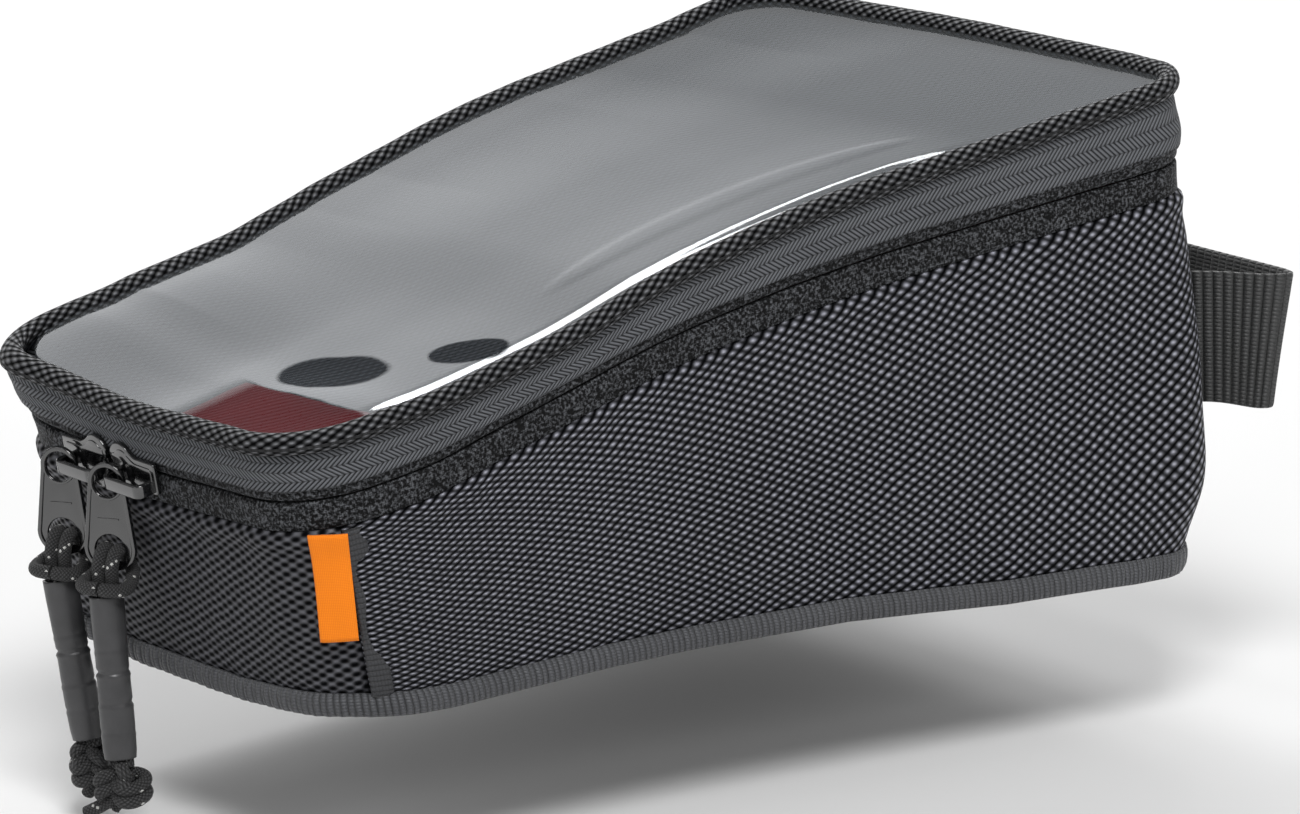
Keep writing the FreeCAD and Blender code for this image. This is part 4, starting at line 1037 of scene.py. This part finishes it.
def cutout(name, loops, z0, z1, bevel, matrix, steps=2):
    """A flat piece with rounded edges from an outline and its holes, z0 to z1 thick, placed by matrix."""
    cu = bpy.data.curves.new(name, "CURVE")
    cu.dimensions = "2D"
    cu.fill_mode = "BOTH"
    for loop in loops:
        sp = cu.splines.new("POLY")
        sp.points.add(len(loop) - 1)
        for q, (x, y) in zip(sp.points, loop):
            q.co = (x, y, 0, 1)
        sp.use_cyclic_u = True
    cu.extrude = (z1 - z0) / 2 - bevel
    cu.bevel_depth = bevel
    cu.bevel_resolution = steps
    cu.offset = -bevel
    tmp = bpy.data.objects.new(name + "_tmp", cu)
    COLLECTION.objects.link(tmp)
    bpy.context.view_layer.update()
    me = bpy.data.meshes.new_from_object(tmp.evaluated_get(bpy.context.evaluated_depsgraph_get()))
    bpy.data.objects.remove(tmp)
    bm = bmesh.new()
    bm.from_mesh(me)
    bmesh.ops.remove_doubles(bm, verts=bm.verts, dist=1e-4)
    bmesh.ops.translate(bm, verts=bm.verts, vec=(0, 0, (z0 + z1) / 2))
    bmesh.ops.transform(bm, matrix=matrix, verts=bm.verts)
    bmesh.ops.scale(bm, vec=(0.001,) * 3, verts=bm.verts)
    bmesh.ops.recalc_face_normals(bm, faces=bm.faces)
    bm.to_mesh(me)
    bm.free()
    me.name = name
    o = bpy.data.objects.new(name, me)
    COLLECTION.objects.link(o)
    smooth_by_angle(o, 32)
    return o


def smooth_by_angle(o, degrees):
    me = o.data
    me.polygons.foreach_set("use_smooth", [True] * len(me.polygons))
    bm = bmesh.new()
    bm.from_mesh(me)
    for e in bm.edges:
        e.smooth = len(e.link_faces) == 2 and e.calc_face_angle(0) < math.radians(degrees)
    bm.to_mesh(me)
    bm.free()


def join(name, objs):
    bpy.context.view_layer.update()
    bm = bmesh.new()
    for q in objs:
        bm.from_mesh(q.data)
    me = bpy.data.meshes.new(name)
    bm.to_mesh(me)
    bm.free()
    for q in objs:
        bpy.data.objects.remove(q)
    o = bpy.data.objects.new(name, me)
    COLLECTION.objects.link(o)
    return o


def mat4(x, y, z, base):
    return Matrix(((x[0], y[0], z[0], base[0]), (x[1], y[1], z[1], base[1]), (x[2], y[2], z[2], base[2]), (0, 0, 0, 1)))


U3, N3 = np.array([_c, 0, _s]), np.array([-_s, 0, _c])
SL, SW, ST = 19.5 / 2, 14.7 / 2, 9.2 / 2
SLIDER_Y = {"near": 5.9, "far": 26.9}


def slider_outline(s, shrink):
    l, w, tail = SL - shrink, SW - shrink, ST - shrink
    a, rr = math.pi / 4, 4.2
    cx, cy = l - rr, w - rr
    return outline2d([
        (s * -l, tail - 1.0),
        ((s * -(l - 0.3), tail - 0.3), (s * -(l - 1.0), tail)),
        (s * (-1.5), tail),
        ((s * 0.6, tail + (w - tail) * 0.35), (s * 2.6, w - 0.25)),
        ((s * (cx + 1.4), w), (s * (cx + rr * math.cos(a)), cy + rr * math.sin(a))),
        ((s * (l - 0.15), cy + 0.6), (s * (l - 0.9), 1.9)),
        ((s * (l - 1.7), 0.0), (s * (l - 0.9), -1.9)),
        ((s * (l - 0.15), -(cy + 0.6)), (s * (cx + rr * math.cos(a)), -(cy + rr * math.sin(a)))),
        ((s * (cx + 1.4), -w), (s * 2.6, -(w - 0.25))),
        ((s * 0.6, -(tail + (w - tail) * 0.35)), (s * (-1.5), -tail)),
        (s * -(l - 1.0), -tail),
        ((s * -(l - 0.3), -(tail - 0.3)), (s * -l, -(tail - 1.0))),
    ])


def make_slider(side, s):
    y = SLIDER_Y[side]
    base = np.array([XR, 0, 0]) + N3 * CHAIN0 + np.array([0, y, 0])
    m = mat4((0, -1, 0), N3, -U3, base)
    a = cutout("a", [slider_outline(s, 0)], 0.5, 2.1, 0.42, m, 3)
    # a raised middle, so that the rim reads as a step
    b = cutout("b", [slider_outline(s, 1.5)], 1.9, 2.35, 0.2, m)
    c0, c1 = sorted((s * (SL - 4.4), s * (SL - 1.2)))
    c = cutout("c", [[(c0, -1.15), (c1, -1.15), (c1, 1.15), (c0, 1.15)]], -2.8, 0.9, 0.15, m, 1)
    d = cutout("d", [slider_outline(s, 1.6)], -3.8, -2.7, 0.3, m)
    cl, gap, th, z0 = 16.6 / 2, 4.0, 1.4, 2.1
    ro, ri, k = 2.6, 1.4, 0.29
    crown = outline2d([
        (-cl, z0 - 0.1), (-cl, z0 + gap + th - ro), ((-cl + k * ro, z0 + gap + th - k * ro), (-cl + ro, z0 + gap + th)), (cl - ro, z0 + gap + th),
        ((cl - k * ro, z0 + gap + th - k * ro), (cl, z0 + gap + th - ro)), (cl, z0 - 0.1), (cl - 1.6, z0 - 0.1), (cl - 1.6, z0 + gap - ri),
        ((cl - 1.6 - k * ri, z0 + gap - k * ri), (cl - 1.6 - ri, z0 + gap)), (-cl + 1.6 + ri, z0 + gap), ((-cl + 1.6 + k * ri, z0 + gap - k * ri), (-cl + 1.6, z0 + gap - ri)), (-cl + 1.6, z0 - 0.1)])
    # the sketch's x runs along the chain and its y stands out of the wall; the strap is 4.2 wide about h = -2.3
    mc = m @ Matrix(((1, 0, 0, 0), (0, 0, 1, 0), (0, 1, 0, 0), (0, 0, 0, 1)))
    e = cutout("e", [crown], -2.3 - 1.9, -2.3 + 1.9, 0.42, mc, 3)
    o = join(f"{side}_slider_cast", [a, b, c, d, e])
    smooth_by_angle(o, 32)
    add(o, M_SLIDER, f"{side}_slider", "slider_black", f"{side}_slider")


TURN, LEANT = math.radians(25), math.radians(3)
_flat = np.array([-math.sin(TURN), math.cos(TURN), 0])
UPV = np.array([0, 0, 1.0])
T_OUT = np.array([-math.cos(TURN), -math.sin(TURN), 0])
T_WIDE = _flat * math.cos(LEANT) - UPV * math.sin(LEANT)
T_UP = UPV * math.cos(LEANT) + _flat * math.sin(LEANT)
REACH = 23.2


def head_hole(side):
    y = SLIDER_Y[side]
    stand = 0.5 + 1.6 + 4.0 - 0.2
    leg = np.array([XR, 0, 0]) + U3 * -stand + N3 * (CHAIN0 - 2.3) + np.array([0, y + 8.3 - 0.8, 0])
    return leg + UPV * -0.5


def make_tab(side):
    rr, hw = 5.6, 7.75
    bottom = -REACH - 1.3
    a, cor = math.radians(8), 6.2
    q = cor * math.sin(math.pi / 4)
    shape = outline2d([
        (-rr * math.cos(a), -rr * math.sin(a)), ((0, rr), (rr * math.cos(a), -rr * math.sin(a))), (hw, bottom + cor),
        ((hw - cor + q, bottom + cor - q), (hw - cor, bottom)), (-hw + cor, bottom), ((-hw + cor - q, bottom + cor - q), (-hw, bottom + cor))])
    hole = [(4.2 * math.cos(t), 4.2 * math.sin(t)) for t in np.linspace(0, 2 * math.pi, 33)[:-1]]
    y0, y1, h = -REACH + 1.3, -REACH + 1.3 + 7.4, 4.7
    slot = outline2d([(-h, y0), (h, y0), (h, y1 - 4.0), ((0, y1), (-h, y1 - 4.0))])
    m = mat4(-T_WIDE, T_UP, T_OUT, head_hole(side))
    plate_ = cutout("p", [shape, hole, slot], -0.85, 0.35, 0.3, m, 3)
    e_ = 1.15
    ri_, hi_, bi_, ci_ = rr - e_, hw - e_, bottom + e_, cor - e_
    qi_ = ci_ * math.sin(math.pi / 4)
    inside = outline2d([
        (-ri_ * math.cos(a), -ri_ * math.sin(a)), ((0, ri_), (ri_ * math.cos(a), -ri_ * math.sin(a))), (hi_, bi_ + ci_),
        ((hi_ - ci_ + qi_, bi_ + ci_ - qi_), (hi_ - ci_, bi_)), (-hi_ + ci_, bi_), ((-hi_ + ci_ - qi_, bi_ + ci_ - qi_), (-hi_, bi_ + ci_))])
    rim_ = cutout("rim", [shape, inside], -0.2, 0.8, 0.28, m, 3)
    slot_o = outline2d([(-h, y0 + 1.0), (h, y0 + 1.0), (h + 0.15, y1 - 4.0), ((0, y1 + 0.25), (-h - 0.15, y1 - 4.0))])
    ring_o = [(5.0 * math.cos(t), 5.0 * math.sin(t)) for t in np.linspace(0, 2 * math.pi, 33)[:-1]]
    ring_i = [(4.3 * math.cos(t), 4.3 * math.sin(t)) for t in np.linspace(0, 2 * math.pi, 33)[:-1]]
    ring_ = cutout("r", [ring_o, ring_i], 0.0, 0.75, 0.18, m)
    bar_ = cutout("b", [[(-3.2, -10.4), (3.2, -10.4), (3.2, -9.9), (-3.2, -9.9)]], 0.2, 0.6, 0.12, m)
    o = join(f"{side}_tab_moulding", [plate_, rim_, ring_, bar_])
    smooth_by_angle(o, 32)
    add(o, M_TAB, f"{side}_tab", "tab_black", f"{side}_pull_tab")


CD = 3.8
LEANS = {"near": (0.0, -0.12), "far": (0.09, -0.15)}


def nurbs(name, pts, radius):
    cu = bpy.data.curves.new(name, "CURVE")
    cu.dimensions = "3D"
    cu.bevel_depth = radius * 0.001
    cu.bevel_resolution = 6
    cu.resolution_u = 10
    cu.use_fill_caps = True
    sp = cu.splines.new("NURBS")
    sp.points.add(len(pts) - 1)
    for q, p in zip(sp.points, pts):
        q.co = (*(np.asarray(p) * 0.001), 1)
    sp.order_u = 3
    sp.use_endpoint_u = True
    o = bpy.data.objects.new(name, cu)
    COLLECTION.objects.link(o)
    return o


def route_of(o):
    """The curve's own line, as points in mm."""
    deep = o.data.bevel_depth
    o.data.bevel_depth = 0
    bpy.context.view_layer.update()
    me = bpy.data.meshes.new_from_object(o.evaluated_get(bpy.context.evaluated_depsgraph_get()))
    o.data.bevel_depth = deep
    return np.array([v.co for v in me.vertices]) * 1000


def tube_mesh(name, pts, radius, sides=18):
    """A closed tube along points in mm, with U and V in mm."""
    pts = np.asarray(pts, float)
    t = np.gradient(pts, axis=0)
    t /= np.linalg.norm(t, axis=1)[:, None]
    ref = np.array([0, 0, 1.0]) if abs(t[0][2]) < 0.9 else np.array([1.0, 0, 0])
    a = np.cross(t[0], ref)
    a /= np.linalg.norm(a)
    loops = []
    rad = np.full(len(pts), float(radius)) if np.isscalar(radius) else radius
    for i in range(len(pts)):
        a = a - t[i] * (a @ t[i])
        a /= np.linalg.norm(a)
        b = np.cross(t[i], a)
        g = np.linspace(0, 2 * math.pi, sides, endpoint=False)
        loops.append(pts[i] + rad[i] * (np.cos(g)[:, None] * a + np.sin(g)[:, None] * b))
    u = np.concatenate([[0], np.cumsum(np.linalg.norm(np.diff(pts, axis=0), axis=1))])
    v = np.arange(sides + 1) * 2 * math.pi * float(np.mean(rad)) / sides
    return loft(name, np.array(loops), u, list(v), False, caps="ngon")


def make_pull(side):
    lean = LEANS[side]
    bar = head_hole(side) - T_UP * REACH
    loop_r = CD / 2 + 1.75
    fr = bar + T_OUT * loop_r
    dr = np.array([lean[0], lean[1], -1.0])
    dr /= np.linalg.norm(dr)
    knee = fr - UPV * 6.2
    top = knee + dr * 1.2
    bottom = top + dr * 45.0
    knot = bottom + dr * (7.5 - 0.2)
    body = f"{side}_cord_pull"
    wide = _flat
    # sleeve: heat-shrink, creased, drawn in a little at its ends
    prof = []
    n = 90
    rng = np.random.RandomState(3 if side == "near" else 9)
    creases = [(0.44 + 0.04 * rng.rand(), 0.62), (0.62 + 0.05 * rng.rand(), 0.34), (0.30 + 0.08 * rng.rand(), 0.22), (0.8 + 0.06 * rng.rand(), 0.18)]
    ax = np.cross(dr, np.array([0, 1.0, 0]))
    ax /= np.linalg.norm(ax)
    ay = np.cross(dr, ax)
    sides = 28
    g = np.linspace(0, 2 * math.pi, sides, endpoint=False)
    loops = []
    outer = []
    for i in range(n + 1):
        f = i / n
        c0 = top + dr * 45 * f
        r = 4.45 - 0.18 * smooth((f - 0.94) / 0.06) + 0.12 * math.sin(f * 9 + 1)
        rr = np.full(sides, r)
        for at_, dep in creases:
            rr = rr - dep * np.exp(-(((f - at_) / 0.013) ** 2)) * (0.62 + 0.38 * np.cos(g - at_ * 20))
            rr = rr + dep * 0.4 * np.exp(-(((f - at_ - 0.025) / 0.012) ** 2))
        # two legs show faintly through as a flattened section
        rr = rr * (1 + 0.045 * np.cos(2 * (g - 0.5)))
        outer.append(c0 + rr[:, None] * (np.cos(g)[:, None] * ax + np.sin(g)[:, None] * ay))
    inner = [top + dr * 45 * i / n + 3.95 * (np.cos(g)[:, None] * ax + np.sin(g)[:, None] * ay) for i in range(n + 1)]
    rows = outer + inner[::-1]
    verts = np.concatenate(rows)
    faces, uvs = [], []
    R = len(rows)
    for i in range(R):
        j = (i + 1) % R
        for q in range(sides):
            w = (q + 1) % sides
            faces.append((i * sides + q, i * sides + w, j * sides + w, j * sides + q))
            uvs += [(q, i), (q + 1, i), (q + 1, i + 1), (q, i + 1)]
    sl = make_object(f"{side}_sleeve_tube", verts, faces, uvs)
    add(sl, M_SLEEVE, body, "sleeve_rubber", f"{side}_pull_sleeve")

    # knot: two strands laid through an overhand knot, drawn tight, with cut tails
    parts = []
    ka = np.cross(dr, np.array([1.0, 0.35, 0]))
    ka /= np.linalg.norm(ka)
    kb = np.cross(dr, ka)
    flip = 1 if side == "near" else -1
    for k, sft in enumerate((-1.0, 1.0)):
        tt = np.linspace(0.25, 2 * math.pi + 0.25, 90)
        x = (np.sin(tt) + 2 * np.sin(2 * tt)) * 2.2
        y = (np.cos(tt) - 2 * np.cos(2 * tt)) * 1.25
        z = -np.sin(3 * tt) * 3.1
        off = sft * 1.75
        pp = knot + x[:, None] * ka * flip + z[:, None] * kb + (y + off)[:, None] * dr
        parts.append(tube_mesh("k", pp, CD / 2 * 0.98))
        tail0 = knot + dr * 3.0 + ka * (sft * 1.8)
        tl = 8.5 if k == (0 if side == "near" else 1) else 6.0
        tailp = [tail0 + dr * (tl * f * (0.62 if side == "near" else 1.0)) + ka * ((-7.5 * f if side == "near" else 0.0) + sft * 2.6 * f * f) + kb * (1.2 * f * flip) for f in np.linspace(0, 1, 14)]
        parts.append(tube_mesh("t", tailp, CD / 2 * 0.98))
        lead = [bottom - dr * 1.5 + ka * sft * 1.6 * (1 - f) + dr * 6.0 * f + kb * 0.6 * f for f in np.linspace(0, 1, 10)]
        parts.append(tube_mesh("l", lead, CD / 2 * 0.96))
    uv_join = parts[0]
    bm = bmesh.new()
    for q in parts:
        bm.from_mesh(q.data)
    me = bpy.data.meshes.new(f"{side}_knot_cord")
    bm.to_mesh(me)
    bm.free()
    for q in parts:
        bpy.data.objects.remove(q)
    kn = bpy.data.objects.new(f"{side}_knot_cord", me)
    COLLECTION.objects.link(kn)
    add(kn, cord_material(f"{side}_knot_braid", 60, 2 * math.pi * CD / 2, False), body, "pull_cord", f"{side}_pull_knot")

    # the two legs: each starts at the middle of the bight, goes round behind, over the bar and down through the sleeve
    for k, sgn in enumerate((-1, 1)):
        w = wide * sgn
        pts = [
            fr + T_OUT * 3.7 - UPV * 4.9 + w * 0.4,
            fr + T_OUT * 3.8 - UPV * 5.0 + w * 3.4,
            fr + T_OUT * 2.2 - UPV * 4.9 + w * 6.6,
            fr - T_OUT * 1.6 - UPV * 4.2 + w * 6.7,
            bar - T_OUT * 3.4 - UPV * 2.4 + w * 4.9,
            bar - T_OUT * 4.1 + UPV * 0.8 + w * 2.9,
            bar - T_OUT * 2.8 + UPV * 4.2 + w * 2.2,
            bar + T_OUT * 1.9 + UPV * 4.6 + w * 2.0,
            bar + T_OUT * 4.2 + UPV * 1.0 + w * 1.97,
            fr - UPV * 3.2 + w * 1.95,
            knee + w * 1.95,
            top + w * 1.95 + dr * 5,
        ] + [top + dr * d_ + w * 1.95 for d_ in (14, 24, 34, 42)] + [bottom + w * 1.95 + dr * 2.0]
        o = nurbs(f"{side}_pull_cord_{'ab'[k]}", pts, CD / 2)
        line = route_of(o)
        length = float(np.linalg.norm(np.diff(line, axis=0), axis=1).sum())
        o.data.materials.append(cord_material(f"{side}_braid_{'ab'[k]}", length, 2 * math.pi * CD / 2, True))
        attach(o, body)
        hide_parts(f"{side}_pull_cord")
        print(side, "cord", k, "length", round(length, 1))


for side, s in (("near", -1), ("far", 1)):
    make_slider(side, s)
    make_tab(side)
    make_pull(side)

# carry handle
XW = XR + L - LEAN_F * 43.5 + 0.35
TH = 1.8
plan = [(27.0, 0.0), (28.5, 60.0), (29.0, 96.0), (27.0, 103.5), (20.0, 100.0), (6.5, 84.0), (2.2, 74.0), (TH, 66.0), (TH, 44.0)]
mid = [(x - 0.9 if i < 3 else x, y) for i, (x, y) in enumerate(plan)]
mid = [(26.1, 0), (27.0, 30), (27.6, 60), (28.1, 90), (27.9, 99.0), (26.4, 102.0), (23.0, 101.2), (19.0, 98.2), (12.0, 90.0), (6.0, 82.5), (2.6, 75.5), (1.1, 69.0), (0.9, 60.0), (0.9, 44.0)]
half = np.array(mid)


def catmull(pts, n):
    pts = np.asarray(pts, float)
    out = []
    for i in range(len(pts) - 1):
        p0, p1, p2, p3 = pts[max(i - 1, 0)], pts[i], pts[i + 1], pts[min(i + 2, len(pts) - 1)]
        m = max(2, int(np.linalg.norm(p2 - p1) / n))
        for j in range(m):
            t = j / m
            out.append(0.5 * (2 * p1 + (p2 - p0) * t + (2 * p0 - 5 * p1 + 4 * p2 - p3) * t**2 + (3 * p1 - p0 - 3 * p2 + p3) * t**3))
    out.append(pts[-1])
    return np.array(out)


full = np.concatenate([(half * [1, -1])[::-1], half[1:]])
line = catmull(full, 1.3)
tan = np.gradient(line, axis=0)
tan /= np.linalg.norm(tan, axis=1)[:, None]
nor = np.stack([tan[:, 1], -tan[:, 0]], 1)
arc = np.concatenate([[0], np.cumsum(np.linalg.norm(np.diff(line, axis=0), axis=1))])
W = 38.0
sec = []
vv = []
rows = np.concatenate([[0.0, 0.35], np.linspace(1.0, W - 1.0, 20), [W - 0.35, W]])
thick = [0.35, 0.75] + [0.9] * 20 + [0.75, 0.35]
loops = []
for i, (p, n_) in enumerate(zip(line, nor)):
    ring = []
    for sign in (1, -1):
        seq = list(zip(rows, thick))
        if sign < 0:
            seq = seq[::-1]
        for z_, t_ in seq:
            sway = 0.35 * math.sin(arc[i] / 17 + z_ / 13) * smooth((p[0] - 4) / 8)
            q = p + n_ * (t_ * sign + sway)
            ring.append((XW + q[0] - LEAN_F * z_ - 7.5 * (1 - z_ / W) * smooth((q[0] - 8) / 18), q[1], 43.5 + z_ + 0.4 * math.sin(arc[i] / 23) * smooth((p[0] - 4) / 8)))
    loops.append(ring)
vv = list(np.concatenate([rows, rows[::-1] + 0]))
h_ = loft("carry_handle_webbing", np.array(loops), arc, vv, False)
h_.data.transform(Matrix.Identity(4))
co = np.array([v.co for v in h_.data.vertices]) * 1000
h_.data.vertices.foreach_set("co", (co * 0.001).astype(np.float32).ravel())
add(h_, M_WEB, "bag_body", "webbing", "carry_handle")

# what is left of the CAD's own pieces
for name, material in (("base_magnets", M_MAGNET),):
    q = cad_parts[name]
    q.data.materials.clear()
    q.data.materials.append(material)

# --------------------------------------------------------------------- stage
right_v, up_v, back_v = Vector((0.76408, -0.64513, 0)), Vector((0.17312, 0.20504, 0.96332)), Vector((-0.62147, -0.73605, 0.26835))
cam = bpy.data.cameras.new("camera")
cam.lens = 297.62
cam.sensor_width = 36
cam.clip_start, cam.clip_end = 0.1, 50
co_ = bpy.data.objects.new("camera", cam)
COLLECTION.objects.link(co_)
co_.matrix_world = Matrix(((right_v.x, up_v.x, back_v.x, -1.8450), (right_v.y, up_v.y, back_v.y, -2.2082), (right_v.z, up_v.z, back_v.z, 0.8525), (0, 0, 0, 1)))
bpy.context.scene.camera = co_

me = bpy.data.meshes.new("floor")
me.from_pydata([(-4, -4, -0.0425), (4, -4, -0.0425), (4, 4, -0.0425), (-4, 4, -0.0425)], [], [(0, 1, 2, 3)])
floor = bpy.data.objects.new("floor", me)
COLLECTION.objects.link(floor)
fm = Nodes("floor")
fm.set(color=(0.82, 0.82, 0.82), rough=0.9)
floor.data.materials.append(fm.m)


def light(name, where, aim, size, power, size_y=None, spread=None):
    la = bpy.data.lights.new(name, "AREA")
    la.shape = "RECTANGLE"
    la.size, la.size_y = size, size_y or size
    la.energy = power
    lo = bpy.data.objects.new(name, la)
    COLLECTION.objects.link(lo)
    lo.location = where
    lo.rotation_mode = "QUATERNION"
    lo.rotation_quaternion = (Vector(aim) - Vector(where)).to_track_quat("-Z", "Y")
    return lo


light("key", (-0.75, -1.0, 1.75), (0, 0, 0.05), 0.7, 27)
light("rear_soft", (0.9, 1.6, 1.05), (0, 0, 0.1), 2.2, 19.5)
light("rear_end_soft", (-1.8, 0.1, 0.8), (-0.1, 0, 0.03), 0.7, 3)
light("right_side_soft", (0.5, -1.8, 0.9), (0.05, 0, 0.05), 0.7, 6.5)
strip_ = light("top_strip", (0.62, 0.96, 1.42), (0, -0.05, 0.1), 1.5, 12, size_y=0.2)
z_ax = (Vector((0.62, 0.96, 1.42)) - Vector((0, -0.05, 0.1))).normalized()
x_ax = Vector((0.57, 0.08, -0.37))
x_ax = (x_ax - z_ax * x_ax.dot(z_ax)).normalized()
y_ax = z_ax.cross(x_ax)
strip_.rotation_quaternion = Matrix((x_ax, y_ax, z_ax)).transposed().to_quaternion()
world = bpy.data.worlds.new("world")
bpy.context.scene.world = world
world.use_nodes = True
wt = world.node_tree
back_, fill_ = wt.nodes["Background"], wt.nodes.new("ShaderNodeBackground")
back_.inputs[0].default_value = (1, 1, 1, 1)
back_.inputs[1].default_value = 1.0
fill_.inputs[0].default_value = (1, 1, 1, 1)
fill_.inputs[1].default_value = 0.28
ray_, pick_ = wt.nodes.new("ShaderNodeLightPath"), wt.nodes.new("ShaderNodeMixShader")
wt.links.new(ray_.outputs["Is Camera Ray"], pick_.inputs[0])
wt.links.new(fill_.outputs[0], pick_.inputs[1])
wt.links.new(back_.outputs[0], pick_.inputs[2])
wt.links.new(pick_.outputs[0], wt.nodes["World Output"].inputs["Surface"])
bpy.context.scene.view_settings.view_transform = "Standard"
